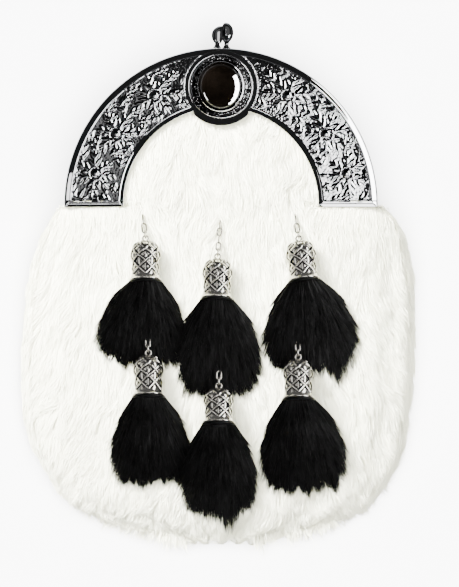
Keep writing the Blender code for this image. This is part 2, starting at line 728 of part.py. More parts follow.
def brush_ring(row, share, half_width, low_z, high_z):
    """A ring across the brush; every other column is a lock, and the last row its tips."""
    last = BRUSH_COLUMNS - 1
    tips = share == BRUSH_TIP_SHARE
    edge_back = 0.06 if tips else (0.035 if share > 0.7 else 0.0)  # the sides end sooner
    grooved = share > 0.3
    middle = low_z + (high_z - low_z) * (0.4 if tips else 0.25)
    length = (Vector(row[4]) - Vector(row[3])).length * MM
    top_side, under_side = [], []
    for i in range(BRUSH_COLUMNS):
        angle = math.pi * (0.03 + 0.94 * i / last)
        across = half_width * math.cos(angle)
        bulge = math.sin(angle) ** 0.7
        at = share - edge_back * (1.0 - bulge)
        if tips:
            at += LOCK_TIPS[i % 2] / length
        sink = BRUSH_GROOVE * (i % 2) * min(1.0, high_z / (8.0 * MM)) if grooved else 0.0
        top_side.append(brush_point(row, at, across, middle + (high_z - middle) * bulge - sink))
        under_side.append(brush_point(row, at, across, middle - (middle - low_z) * bulge))
    return top_side + under_side[::-1]


def tassel_chain(row):
    """Links fused where they bear on each other, from the fur to the cone's jump ring."""
    eye = eye_centre(row)
    top_rise = CHAIN_ON_PELT if row[6] == 0.0 else CHAIN_ON_BRUSH
    start = Vector(row[1]) * MM
    start = Vector((start.x, start.y, pelt_z(start.x, start.y) + top_rise))
    along = (start - eye).normalized()
    face = Vector((0.0, 0.0, 1.0))
    links = []
    bm = bmesh.new()
    ring_at = eye + along * (EYE_R + RING_R - 2.0 * WIRE_R - GAP)
    ring_frame = axis_frame(ring_at, along, face) @ Matrix.Rotation(math.radians(90.0), 4, "Y")
    torus_link(bm, ring_frame, 0.0, RING_R, WIRE_R)
    links.append(finish_mesh("tassel_chain_" + row[0], bm, antique_silver))
    outer_end = ring_at + along * (RING_R - 2.0 * WIRE_R + LINK_BITE)
    count = row[7]
    half = 0.5 * ((start - outer_end).length / count + 2.0 * WIRE_R)  # of one link's length
    for k in range(count):
        at = outer_end + along * (half - WIRE_R + k * (2.0 * half - 2.0 * WIRE_R))
        frame = axis_frame(at, along, face)
        if k % 2 == 1:
            frame = frame @ Matrix.Rotation(math.radians(90.0), 4, "Y")
        bm = bmesh.new()
        reach = half + 0.5 * LINK_BITE
        torus_link(bm, frame, reach - LINK_ROUND - WIRE_R, LINK_ROUND, WIRE_R)
        links.append(finish_mesh("link", bm, antique_silver))
    return fuse(links[0], links[1:])


# ---------- Scene ----------

def finish(name, color, roughness, metallic):
    """A material with one Principled BSDF."""
    made = bpy.data.materials.new(name)
    made.use_nodes = True
    shader = made.node_tree.nodes["Principled BSDF"]
    shader.inputs["Base Color"].default_value = (*color, 1.0)
    shader.inputs["Roughness"].default_value = roughness
    shader.inputs["Metallic"].default_value = metallic
    return made


for old in list(bpy.data.objects):
    bpy.data.objects.remove(old)
parts = bpy.data.collections.new("sporran_pouch")
bpy.context.scene.collection.children.link(parts)
centre = bpy.data.objects.new("arc_centre", None)
centre.location = ORIGIN
parts.objects.link(centre)

silver = finish("polished_silver", (0.62, 0.62, 0.64), 0.15, 1.0)
antique_silver = finish("antique_silver", (0.42, 0.42, 0.43), 0.35, 1.0)
black_glass = finish("black_stone", (0.01, 0.01, 0.012), 0.05, 0.0)
leather = finish("black_leather", (0.02, 0.018, 0.017), 0.5, 0.0)
white_fur = finish("white_fur", (0.93, 0.92, 0.89), 0.85, 0.0)
black_fur = finish("black_fur", (0.015, 0.014, 0.014), 0.7, 0.0)

cantle()
stone()
clasp("clasp_front", -1.9 * MM, -1.8 * MM, 89.8 * MM, 27.6 * MM, 25.4 * MM)
clasp("clasp_back", 2.6 * MM, 3.35 * MM, 91.6 * MM, 20.0 * MM, 22.0 * MM)
back_frame()
hinge("hinge_left", -1.0)
hinge("hinge_right", 1.0)
panel("front_panel", FRONT_PANEL_R, front_leather_z, -LEATHER)
panel("back_panel", BACK_PANEL_R, lambda x, y: back_leather_z(y), LEATHER)
gusset()
fur_pelt()
belt_loop("belt_loop_left", -LOOP_X)
belt_loop("belt_loop_right", LOOP_X)
for tassel in TASSELS:
    tassel_cone(tassel)
    tassel_fur(tassel)
    tassel_chain(tassel)
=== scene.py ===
import json
import math
from collections import namedtuple

import bpy
import numpy as np
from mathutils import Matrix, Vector
from mathutils.bvhtree import BVHTree
from mathutils.kdtree import KDTree

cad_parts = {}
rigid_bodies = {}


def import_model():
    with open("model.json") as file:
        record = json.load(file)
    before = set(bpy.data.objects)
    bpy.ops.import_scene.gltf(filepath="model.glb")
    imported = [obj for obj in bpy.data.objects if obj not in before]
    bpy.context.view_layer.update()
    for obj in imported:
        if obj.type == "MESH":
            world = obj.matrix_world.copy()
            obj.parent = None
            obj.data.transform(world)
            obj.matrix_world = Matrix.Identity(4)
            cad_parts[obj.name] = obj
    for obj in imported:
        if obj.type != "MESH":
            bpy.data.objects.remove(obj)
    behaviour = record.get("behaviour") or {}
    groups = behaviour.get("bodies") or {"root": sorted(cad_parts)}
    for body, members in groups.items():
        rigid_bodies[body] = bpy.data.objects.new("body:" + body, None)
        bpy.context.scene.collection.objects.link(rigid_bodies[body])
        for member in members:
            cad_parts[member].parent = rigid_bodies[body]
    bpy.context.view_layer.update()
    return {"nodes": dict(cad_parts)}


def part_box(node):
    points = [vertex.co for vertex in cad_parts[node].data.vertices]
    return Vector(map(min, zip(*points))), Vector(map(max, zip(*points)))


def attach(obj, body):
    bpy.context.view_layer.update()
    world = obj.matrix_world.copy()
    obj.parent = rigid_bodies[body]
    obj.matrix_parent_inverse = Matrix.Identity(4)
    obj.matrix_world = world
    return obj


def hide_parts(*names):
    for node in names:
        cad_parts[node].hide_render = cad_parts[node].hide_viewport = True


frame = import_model()

# Everything is worked out in millimetres about the centre of the cantle's arcs:
# x to the right, y up to the clasp, z out of the front.
metre = 0.001
footDrop = 0.8  # the cantle's feet end this far under the arcs' centre
cantleLow, cantleHigh = (np.array(corner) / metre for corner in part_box("cantle"))
arcCentre = np.array([0.5 * (cantleLow[0] + cantleHigh[0]), cantleLow[1] + footDrop, 0.0])


def nodeBox(name):
    low, high = (np.array(corner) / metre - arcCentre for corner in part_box(name))
    return low, high


def nodeMesh(name):
    # a CAD node's points, in millimetres, and its triangles
    mesh = frame["nodes"][name].data
    points = np.empty(len(mesh.vertices) * 3)
    mesh.vertices.foreach_get("co", points)
    mesh.calc_loop_triangles()
    triangles = np.empty(len(mesh.loop_triangles) * 3, np.int32)
    mesh.loop_triangles.foreach_get("vertices", triangles)
    return points.reshape(-1, 3) / metre - arcCentre, triangles.reshape(-1, 3)


def smooth(t):
    t = np.clip(t, 0.0, 1.0)
    return t * t * (3.0 - 2.0 * t)


def unit(way):
    return way / np.maximum(np.linalg.norm(way, axis=-1, keepdims=True), 1e-9)


def circle(count):
    return np.linspace(0.0, 2.0 * math.pi, count, endpoint=False)


def hoops(around, across, deep, level):
    # rings about the z axis, from columns of half widths, half depths and levels
    return np.stack(np.broadcast_arrays(across * np.cos(around), deep * np.sin(around), level),
                    axis=-1)


def curveThrough(rows, count):
    # a smooth curve through a table's rows, read at even steps
    rows = np.array(rows, float)
    padded = np.vstack([2 * rows[0] - rows[1], rows, 2 * rows[-1] - rows[-2]])
    out = []
    for t in np.linspace(0.0, len(rows) - 1 - 1e-9, count):
        k = int(t)
        u = t - k
        a, b, c, d = padded[k:k + 4]
        out.append(0.5 * (2 * b + (c - a) * u + (2 * a - 5 * b + 4 * c - d) * u ** 2
                          + (3 * b - a - 3 * c + d) * u ** 3))
    return np.array(out)


def skin(rings, caps=True):
    # quads between closed rings of equal length
    rings = np.asarray(rings, float)
    rows, count = rings.shape[:2]
    index = np.arange(rows * count).reshape(rows, count)
    ahead = np.roll(index, -1, axis=1)
    faces = [np.stack([index[:-1], ahead[:-1], ahead[1:], index[1:]], axis=-1).reshape(-1, 4)]
    if caps:
        faces += [index[:1, ::-1], index[-1:]]
    return rings.reshape(-1, 3), faces


def joined(parts):
    points, faces, offset = [], [], 0
    for somePoints, someFaces in parts:
        points.append(somePoints)
        faces += [np.asarray(face) + offset for face in someFaces]
        offset += len(somePoints)
    return np.concatenate(points), faces


def inScene(name, data):
    thing = bpy.data.objects.new(name, data)
    bpy.context.scene.collection.objects.link(thing)
    return thing


def rayTree(points, triangles):
    return BVHTree.FromPolygons([Vector(p) for p in points], triangles.tolist())


def volumeOf(points, faces):
    total = 0.0
    for face in faces:
        for k in range(1, face.shape[1] - 1):
            a, b, c = points[face[:, 0]], points[face[:, k]], points[face[:, k + 1]]
            total += np.einsum("ij,ij->i", a, np.cross(b, c)).sum()
    return total


def makePiece(name, shape, finish, stands=(), marks=None, sharp=None, turnOut=True):
    # makes a mesh object of a shape; stands are the CAD nodes that it takes the place of
    points, faces = shape
    if turnOut and volumeOf(points, faces) < 0.0:
        faces = [face[:, ::-1] for face in faces]
    mesh = bpy.data.meshes.new(name)
    corners = [corner for face in faces for corner in face.tolist()]
    mesh.from_pydata(((points + arcCentre) * metre).tolist(), [], corners)
    for mark, values in (marks or {}).items():
        layer = mesh.attributes.new(mark, "FLOAT", "POINT")
        layer.data.foreach_set("value", np.asarray(values, np.float32))
    mesh.validate()
    mesh.shade_smooth()
    if sharp:
        mesh.set_sharp_from_angle(angle=math.radians(sharp))
    return dress(inScene(name, mesh), finish, stands)


def dress(piece, finish, stands=()):
    material, slotName = finish
    piece.data.materials.clear()
    piece.data.materials.append(material)
    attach(piece, "root")
    if stands:
        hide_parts(*stands)
    return piece


# Finishes

def feed(node, values):
    # sets a node's inputs, to a value or to what another node puts out
    for key, value in values.items():
        if isinstance(value, bpy.types.NodeSocket):
            node.id_data.links.new(value, node.inputs[key])
        else:
            node.inputs[key].default_value = value


def newMaterial(name, color, roughness, metallic=0.0):
    material = bpy.data.materials.new(name)
    material.use_nodes = True
    shader = material.node_tree.nodes["Principled BSDF"]
    feed(shader, {"Base Color": (*color, 1.0), "Roughness": roughness, "Metallic": metallic})
    return material, material.node_tree, shader


def addNode(tree, kind, values=None, **settings):
    node = tree.nodes.new("ShaderNode" + kind)
    for key, value in settings.items():
        setattr(node, key, value)
    feed(node, values or {})
    return node


def addRamp(tree, source, stops):
    # stops are (place, colour or grey)
    ramp = addNode(tree, "ValToRGB", {"Fac": source})
    marks = ramp.color_ramp.elements
    while len(marks) < len(stops):
        marks.new(0.5)
    for mark, (place, shade) in zip(marks, stops):
        mark.position = place
        mark.color = (*shade, 1.0) if isinstance(shade, tuple) else (shade, shade, shade, 1.0)
    return ramp.outputs["Color"]


def objectCoords(tree):
    return addNode(tree, "TexCoord").outputs["Object"]


def addNoise(tree, coords, scale, detail, roughness=0.5):
    values = {"Vector": coords, "Scale": scale, "Detail": detail, "Roughness": roughness}
    return addNode(tree, "TexNoise", values).outputs["Fac"]


def addBump(tree, height, distance, strength):
    values = {"Height": height, "Distance": distance, "Strength": strength}
    return addNode(tree, "Bump", values).outputs["Normal"]


def silverFinish(name, bright, dark, roughness, grain, metal):
    # silver with blackened hollows and painted shade; the mesh says how sunk or shaded each point is
    material, tree, shader = newMaterial(name, bright, roughness, metal)
    sunk = addNode(tree, "Attribute", attribute_name="hollow").outputs["Fac"]
    coords = objectCoords(tree)
    cloud = addNoise(tree, coords, 260.0, 4.0)
    feed(shader, {
        "Base Color": addRamp(tree, sunk, [(0.0, bright), (0.38, bright), (0.85, dark)]),
        "Roughness": addRamp(tree, cloud, [(0.35, 0.75 * roughness), (0.7, 1.3 * roughness)]),
        "Normal": addBump(tree, addNoise(tree, coords, 2600.0, 2.0), grain * metre, 0.5)})
    return material


def leatherFinish():
    material, tree, shader = newMaterial("blackLeather", (0.0014, 0.0012, 0.0011), 0.5)
    coords = objectCoords(tree)
    cells = addNode(tree, "TexVoronoi", {"Vector": coords, "Scale": 950.0},
                    feature="DISTANCE_TO_EDGE").outputs["Distance"]
    cloud = addNoise(tree, coords, 90.0, 5.0)
    pebble = addRamp(tree, cells, [(0.0, 0.0), (0.16, 1.0)])
    feed(shader, {
        "Base Color": addRamp(tree, cloud, [(0.3, (0.0007, 0.0006, 0.0006)),
                                            (0.75, (0.0022, 0.0019, 0.0018))]),
        "Roughness": addRamp(tree, cloud, [(0.3, 0.38), (0.8, 0.58)]),
        "Normal": addBump(tree, pebble, 0.12 * metre, 0.8), "Specular IOR Level": 0.3})
    return material


def stoneFinish():
    material, tree, shader = newMaterial("blackStone", (0.0006, 0.0005, 0.0004), 0.02)
    veins = addNoise(tree, objectCoords(tree), 120.0, 6.0, 0.6)
    feed(shader, {
        "Base Color": addRamp(tree, veins, [(0.35, (0.0004, 0.0003, 0.0002)),
                                            (0.8, (0.0016, 0.0011, 0.0008))]),
        "Specular IOR Level": 0.14})
    return material


def furFinish(name, dark, light, roughness, sheen, specular):
    # each hair carries its own tone; part of its spread is painted: sheen on the black hair, streak
    # shading on the white
    material, tree, shader = newMaterial(name, light, roughness)
    shade = addNode(tree, "Attribute", attribute_name="shade").outputs["Fac"]
    feed(shader, {"Base Color": addRamp(tree, shade, [(0.0, dark), (1.0, light)]),
                  "Sheen Weight": sheen, "Sheen Roughness": 0.4, "Specular IOR Level": specular})
    return material


polishedSilver = (silverFinish("polishedSilver", (0.86, 0.86, 0.87), (0.03, 0.03, 0.032), 0.035,
                               0.001, 1.0), "polished_silver")
antiqueSilver = (silverFinish("antiqueSilver", (0.54, 0.52, 0.475), (0.002, 0.002, 0.002), 0.16,
                              0.006, 0.99), "antique_silver")
blackStone = (stoneFinish(), "black_stone")
blackLeather = (leatherFinish(), "leather")
# darker hairs among the white paint soft streak shading, over the fur's own varied tone
whiteHair = (furFinish("whiteHair", (0.83, 0.825, 0.66), (0.97, 0.97, 0.78), 0.75, 0.15, 0.2),
             "white_fur")
# the black hair's lighter strands are painted sheen, over its own varied tone
blackHair = (furFinish("blackHair", (0.0001, 0.0001, 0.0001), (0.0008, 0.00075, 0.00075), 0.4, 0.0,
                       0.16), "black_fur")
print("finishes made")


# Cantle: the cast half ring, its boss and the foliage in its two panels

cantleForm = {
    "outerR": 78.25, "innerR": 48.75, "skirtR": 75.65, "skirtZ": 24.0, "backZ": 29.0,
    "rimZ": 33.6, "groundZ": 32.3, "lineZ": 33.9, "lineWidth": 0.7,
    # how wide each rim slopes, how far it falls, and how wide its rounded edge is
    "outerRim": (2.7, 1.2, 0.95), "innerRim": (2.1, 0.74, 0.14), "footRim": 2.5,
    "tilt": 2.5, "footTilt": 1.8, "footBlend": 0.6, "bossY": 59.05, "bossR": 18.1,
    "lineSunk": 0.15, "reliefBlend": 0.5, "margin": 0.2,
    "underBoss": (1.0, 0.6),  # how far in from the boss's edge the face drops, and by how much
    "hollow": (0.9, 0.7),  # how dark each millimetre of hollow is, and at most
    "stipple": 0.02, "mottle": 0.07, "flecks": 1.3,  # the ground's roughness, and its black spots
    # rows round the arch and across it; those at both edges lie closer
    "around": 760, "across": 108, "edgeRows": (0.0, 0.05, 0.13, 0.24, 0.38, 0.55), "seed": 3,
}
# the third and fourth keys give the painted shade on the foliage's up-left flanks: how dark it is,
# and over what slope it comes in
leafForm = {"height": 0.6, "step": 0.1, "flankShade": 0.97, "flank": 0.15, "midrib": 0.085,
            "lobeLong": 0.52, "lobeWide": 0.092, "pairs": 2, "open": 38.0, "sway": 0.12,
            # side lobes: the first one's place, their stretch of the midrib, their share of its
            # height, and how much less the next pair opens and reaches
            "first": 0.12, "stretch": 0.68, "lower": 0.85, "closes": 5.0, "shorter": 0.15,
            # small leaves, and the stretch of the panel where they look for bare ground
            "small": 40, "smallLong": (3.6, 6.0), "along": (2.0, 82.0), "across": (-11.5, 11.5),
            "bare": 0.12}
# a thistle head: its knob's edge and rise, its groove's and collar's radii as shares of the
# knob's, and its scales
headForm = {"edge": 0.2, "rise": 1.2, "groove": 1.12, "collar": 1.6, "scales": 8,
            "scaleLow": 0.55, "scaleRise": 0.35}
footSteps = [
    # in from the foot's end, how far the band has fallen
    (0.0, 1.3), (1.4, 0.2), (1.55, 0.17), (2.2, 0.05), (2.6, 0.0),
]
sprigs = [
    # angle up the panel, out from its middle, head radius, leaves, first leaf's turn, leaf length
    (14.0, 1.2, 2.2, 7, 20.0, 10.5),
    (34.0, -0.2, 2.4, 7, 5.0, 11.5),
    (58.6, 0.4, 2.3, 7, 30.0, 11.0),
]
fillers = [
    # angle, out from the middle, turn, length
    (1.8, 5.0, 75.0, 8.0), (2.0, -8.6, 70.0, 7.5), (2.5, -3.0, 100.0, 6.5), (3.0, 9.6, 20.0, 7.0),
    (18.0, 9.0, 25.0, 8.5), (20.0, -9.8, 10.0, 8.5), (23.8, 3.4, 60.0, 8.0), (24.0, 5.0, 10.0, 7.5),
    (24.5, -2.6, -40.0, 8.0), (27.0, -9.0, -10.0, 7.5), (38.5, 9.8, 12.0, 8.5),
    (40.0, -9.8, 10.0, 8.0), (44.0, 2.8, 70.0, 8.5), (44.5, 1.0, -20.0, 8.0),
    (44.5, 7.0, 10.0, 7.5), (45.0, -5.0, -30.0, 7.5), (49.5, 9.6, -15.0, 7.5),
    (50.0, -9.6, 15.0, 7.0), (62.0, 9.8, 0.0, 7.5), (65.5, -9.0, -5.0, 8.0),
    (66.5, 4.0, 25.0, 7.0), (66.0, -2.2, -30.0, 7.0), (9.0, 9.9, 10.0, 6.5),
    (30.5, 9.9, 160.0, 6.5), (12.0, -9.9, 170.0, 6.5), (34.0, -9.9, 170.0, 6.0),
    (56.0, 9.9, 170.0, 6.5), (57.0, -9.9, 175.0, 6.0),
]


def lobeHeight(ds, dv, turn, length, wide, tall):
    # a pointed lobe with a ridged back; ds and dv are measured from its base
    c, sn = math.cos(turn), math.sin(turn)
    t = (ds * c + dv * sn) / length
    q = -ds * sn + dv * c
    inside = (t > 0.0) & (t < 1.0)
    t = np.clip(t, 0.0, 1.0)
    width = wide * np.sin(math.pi * t ** 0.72) ** 0.85
    side = np.abs(q) / np.maximum(width, 0.02)
    back = tall * (1.0 - 0.3 * t) * (1.0 - np.minimum(side, 1.0) ** 1.8)
    return np.where(inside & (side < 1.0), leafForm["step"] + back, 0.0)


def leafHeight(s, v, base, turn, length, form, bend):
    # a lobed leaf: a midrib lobe, with pairs of side lobes that lean forward
    height = lobeHeight(s - base[0], v - base[1], turn, length, form["midrib"] * length,
                        form["height"])
    for pair in range(form["pairs"]):
        along = (form["first"] + form["stretch"] * pair / form["pairs"]) * length
        root = (base[0] + along * math.cos(turn), base[1] + along * math.sin(turn))
        reach = form["lobeLong"] * length * (1.0 - form["shorter"] * pair)
        for side in (-1.0, 1.0):
            lean = turn + side * math.radians(form["open"] - form["closes"] * pair) + bend
            height = np.maximum(height, lobeHeight(
                s - root[0], v - root[1], lean, reach, form["lobeWide"] * length,
                form["lower"] * form["height"]))
    return height


def headHeight(s, v, at, radius):
    # a round thistle head: a knob in a groove, in a collar of small scales
    form = headForm
    ds, dv = s - at[0], v - at[1]
    far = np.hypot(ds, dv)
    around = 0.5 * form["scales"] * np.arctan2(dv, ds)
    knob = form["edge"] + form["rise"] * np.sqrt(np.maximum(0.0, 1.0 - (far / radius) ** 2))
    scales = form["scaleLow"] + form["scaleRise"] * np.abs(np.cos(around))
    ring = np.clip((far - radius * form["groove"]) / 0.5, 0.0, 1.0)
    ring *= far < radius * form["collar"]
    return np.where(far < radius, knob, scales * ring)


def foliage(s, v, random):
    height = np.zeros_like(s)

    def raised(base, reach, part):
        near = (np.abs(s - base[0]) < reach) & (np.abs(v - base[1]) < reach)
        height[near] = np.maximum(height[near], part(s[near], v[near]))

    sway = leafForm["sway"]

    def leaf(base, turn, length):
        bend = random.uniform(-sway, sway)
        form = {**leafForm, "height": leafForm["height"] * random.uniform(0.85, 1.2)}
        raised(base, 1.1 * length,
               lambda ss, vv: leafHeight(ss, vv, base, turn, length, form, bend))

    middleR = 0.5 * (cantleForm["outerR"] + cantleForm["innerR"])
    for angle, out, turn, length in fillers:
        leaf((math.radians(angle) * middleR, out), math.radians(turn), length)
    for angle, out, radius, leaves, first, length in sprigs:
        base = (math.radians(angle) * middleR, out)
        for k in range(leaves):
            turn = math.radians(first + 360.0 * k / leaves) + random.uniform(-sway, sway)
            start = (base[0] + radius * math.cos(turn), base[1] + radius * math.sin(turn))
            leaf(start, turn, length * random.uniform(0.85, 1.1)
                 * (1.0 - 0.18 * abs(math.sin(turn))))
        near = np.hypot(s - base[0], v - base[1]) < radius * headForm["collar"]
        height[near] = headHeight(s[near], v[near], base, radius)
    for k in range(leafForm["small"]):  # small leaves fill what is still bare
        base = (random.uniform(*leafForm["along"]), random.uniform(*leafForm["across"]))
        turn, length = random.uniform(-1.3, 1.3), random.uniform(*leafForm["smallLong"])
        middle = (base[0] + 0.5 * length * math.cos(turn), base[1] + 0.5 * length * math.sin(turn))
        near = np.hypot(s - middle[0], v - middle[1]) < 0.4 * length
        if near.any() and height[near].mean() < leafForm["bare"]:
            raised(middle, length, lambda ss, vv: lobeHeight(
                ss - base[0], vv - base[1], turn, length, 0.17 * length, 0.4))
    return height


def blurred(grid, weights):
    # each point takes on its neighbours' heights, by these weights
    reach = len(weights) // 2
    for axis in (0, 1):
        parts = [weight * np.roll(grid, k - reach, axis) for k, weight in enumerate(weights)]
        grid = sum(parts) / sum(weights)
    return grid


def rimFall(depth, rim):
    # how far a rim has fallen, this far in from its edge
    width, drop, edge = rim
    slope = drop * np.clip(1.0 - depth / width, 0.0, 1.0)
    corner = np.clip(1.0 - depth / edge, 0.0, 1.0)
    return slope + 0.6 * edge * (1.0 - np.sqrt(np.maximum(0.0, 1.0 - corner ** 2)))


def cantleFace(x, y):
    # height of the cast face, and how dark each point of it is: blackened hollows on the ground,
    # painted shade on the foliage's flanks
    form = cantleForm
    r = np.hypot(x, np.maximum(y, 0.0))
    toOuter, toInner = form["outerR"] - r, r - form["innerR"]
    toFoot = y + footDrop
    toBoss = np.hypot(x, y - form["bossY"]) - form["bossR"]
    middleR = 0.5 * (form["outerR"] + form["innerR"])
    fall = np.maximum.reduce([rimFall(toOuter, form["outerRim"]),
                              rimFall(toInner, form["innerRim"]),
                              np.interp(toFoot, *zip(*footSteps))])
    nearFoot = 1.0 - smooth((toFoot - form["footRim"]) / form["footBlend"])
    rim = form["rimZ"] - fall
    rim = rim - nearFoot * math.tan(math.radians(form["footTilt"])) * (r - middleR)
    inPanel = np.minimum.reduce([toOuter - form["outerRim"][0], toInner - form["innerRim"][0],
                                 toFoot - form["footRim"], toBoss])
    line = form["lineWidth"]
    ridge = np.sqrt(np.maximum(0.0, 1.0 - (2.0 * inPanel / line - 1.0) ** 2))
    angle = np.arctan2(y, np.abs(x))
    random = np.random.default_rng(form["seed"])
    relief = np.zeros_like(x)
    for side in (x >= 0.0, x < 0.0):
        relief[side] = foliage(angle[side] * middleR, r[side] - middleR, random)
    relief = blurred(relief, (1, 2, 1))
    stipple = form["stipple"] * random.uniform(-1.0, 1.0, x.shape)
    stipple += form["mottle"] * blurred(random.uniform(-1.0, 1.0, x.shape), (1, 1, 1))
    edge = smooth((inPanel - line) / form["reliefBlend"])
    bare = relief < leafForm["step"]
    low = form["groundZ"] - math.tan(math.radians(form["tilt"])) * (r - middleR)
    z = np.where(inPanel < 0.0, rim, low + relief * edge + stipple * edge * bare)
    foot = form["rimZ"] - form["lineSunk"]
    raised = np.maximum(foot + (form["lineZ"] - foot) * ridge, low)
    z = np.where((inPanel >= 0.0) & (inPanel < line), raised, z)
    inFrom, drop = form["underBoss"]
    z = np.where(toBoss < -inFrom, form["rimZ"] - drop, z)
    fleck = blurred(random.uniform(-1.0, 1.0, x.shape), (1, 1, 1))
    gain, most = form["hollow"]
    sunk = np.clip(gain * (blurred(z, (1,) * 7) - z), 0.0, most)
    sunk += form["flecks"] * np.clip(fleck, 0.0, 1.0)
    xu, xv, yu, yv = *np.gradient(x), *np.gradient(y)
    ru, rv = np.gradient(relief)
    spread = xu * yv - xv * yu
    facing = ((ru * yv - rv * yu) - (rv * xu - ru * xv)) / spread * math.sqrt(0.5)
    # painted shade: the foliage is darkened on the flanks that face up and to the left
    paintedShade = leafForm["flankShade"] * smooth(facing / leafForm["flank"])
    return z, np.where(inPanel > line + form["margin"], np.maximum(sunk * bare, paintedShade), 0.0)


def archRings(count, drops, radii, levels):
    # points round the arch from foot to foot; drops are how far rows reach under both ends
    drops = np.array(drops)
    turns = np.concatenate([0.0 * drops, np.linspace(0.0, math.pi, count), math.pi + 0.0 * drops])
    downs = np.concatenate([drops, np.zeros(count), drops[::-1]])
    return np.stack(np.broadcast_arrays(
        np.outer(np.cos(turns), radii), np.outer(np.sin(turns), radii) - downs[:, None], levels),
        axis=-1)


def cantleCasting():
    form = cantleForm
    outerR, innerR, edges = form["outerR"], form["innerR"], np.array(form["edgeRows"])
    radii = np.concatenate([outerR - edges[:-1], np.linspace(outerR - edges[-1],
                            innerR + edges[-1], form["across"]), innerR + edges[-2::-1]])
    rows = form["around"], (footDrop, 0.5 * footDrop)
    face = archRings(*rows, radii, 0.0)
    face[..., 2], sunk = cantleFace(face[..., 0], face[..., 1])
    skirt = archRings(*rows, (form["skirtR"], outerR), form["skirtZ"])
    back = archRings(*rows, (innerR, form["skirtR"]), form["backZ"])
    rings = np.concatenate([skirt, face, back], axis=1)
    marks = np.zeros(rings.shape[:2])
    marks[:, 2:-2] = sunk
    makePiece("cantleCasting", skin(rings), polishedSilver, ("cantle",),
              {"hollow": marks.ravel()}, sharp=40.0)


bossRows = [
    # half width, half height, level, how sunk
    (18.15, 18.15, 29.3, 0.0), (18.15, 18.15, 33.7, 0.0), (18.1, 18.1, 33.78, 0.0),
    (15.95, 15.95, 33.8, 0.0), (15.9, 15.9, 33.75, 0.9), (15.85, 15.85, 34.2, 0.3),
    (15.72, 15.72, 34.45, 0.0), (15.55, 15.55, 34.55, 0.0), (15.38, 15.38, 34.45, 0.0),
    (15.27, 15.27, 34.2, 0.3), (15.2, 15.2, 33.6, 0.95),
    (14.9, 15.0, 33.55, 0.95), (12.6, 13.45, 33.55, 0.95), (12.15, 13.05, 34.2, 0.95),
    (11.85, 12.75, 35.7, 0.7), (11.6, 12.5, 36.35, 0.0), (11.3, 12.2, 36.5, 0.0),
    (11.0, 11.95, 36.35, 0.0), (10.65, 11.65, 35.9, 0.3), (10.6, 11.6, 34.5, 0.9),
]
bossForm = {"around": 300, "step": 0.28, "seed": 5,
            # the outer ring reaches this much further down at its chin, from this half width on,
            # and where it starts and by how much it blends, as sines of the turn
            "chin": 1.3, "chinFrom": 17.0, "chinAt": (0.62, 0.12),
            # small bright beads: height, share of the points and more on the right, ring's radii,
            # how dark they look; the extra beads on the right paint light on the lit side
            "beads": 0.1, "beadShare": (0.16, 0.1), "beadRing": (12.5, 15.0), "beadMark": 0.3}


def cantleBoss():
    form = bossForm
    rows = []
    for before, after in zip(np.array(bossRows), np.array(bossRows[1:])):
        steps = max(1, int(np.hypot(after[0] - before[0], after[2] - before[2]) / form["step"]))
        rows += [before + (after - before) * k / steps for k in range(steps)]
    wide, tall, level, sunk = np.array(rows + [bossRows[-1]]).T[..., None]
    around = circle(form["around"])
    start, blend = form["chinAt"]
    chin = form["chin"] * smooth((-np.sin(around) - start) / blend) * (wide > form["chinFrom"])
    rings = hoops(around, wide + chin, tall + chin, level) + (0.0, cantleForm["bossY"], 0.0)
    inner, outer = form["beadRing"]
    share, lean = form["beadShare"]
    random = np.random.default_rng(form["seed"])
    # painted light: more of the bright beads stand on the right, the lit side
    bead = random.uniform(size=rings.shape[:2]) < share + lean * np.cos(around)
    bead &= (wide < outer) & (wide > inner)
    rings[..., 2] += form["beads"] * bead
    makePiece("cantleBoss", skin(rings), polishedSilver, ("cantle",),
              {"hollow": np.where(bead, form["beadMark"], sunk).ravel()}, sharp=50.0)


cantleCasting()
cantleBoss()
print("cantle cast")


# Stone and clasp

stoneForm = {"around": 96, "rows": 30, "footWide": 0.97, "footHigh": 0.3, "girdle": 1.2, "top": 88.0}


def domedStone():
    form = stoneForm
    low, high = nodeBox("stone")
    middle, half = 0.5 * (low + high), 0.5 * (high - low)
    girdle = low[2] + form["girdle"]
    rise = np.radians(np.linspace(0.0, form["top"], form["rows"]))
    share = np.concatenate([[form["footWide"], 1.0], np.cos(rise)])[:, None]
    level = np.concatenate([[low[2], low[2] + form["footHigh"]],
                            girdle + (high[2] - girdle) * np.sin(rise)])[:, None]
    rings = hoops(circle(form["around"]), half[0] * share, half[1] * share, level)
    makePiece("domedStone", skin(rings + (middle[0], middle[1], 0.0)), blackStone, ("stone",))


clasps = [
    # node, piece, foot x, foot z, head's half height, how far its widest part leans out
    ("clasp_front", "claspFront", -1.9, 27.6, 4.6, 0.9),
    ("clasp_back", "claspBack", 2.6, 20.0, 5.0, -0.35),
]
claspForm = {"around": 48, "rows": 30, "angles": (-66.0, 89.0), "wider": 0.5, "deep": 3.3,
             "round": 0.9, "lowLean": 0.25, "upright": 1.6,
             "dark": (2.2, 2.1, 0.9)}  # painted shade, how dark it is: at its sides, less on its back, at most
claspNeck = [
    # height, half width, half depth
    (0.0, 2.1, 2.3), (0.35, 1.9, 2.1), (0.9, 1.35, 1.6), (1.8, 1.1, 1.4), (2.8, 1.1, 1.4),
    (3.3, 1.5, 1.7), (3.7, 1.1, 1.4),
]


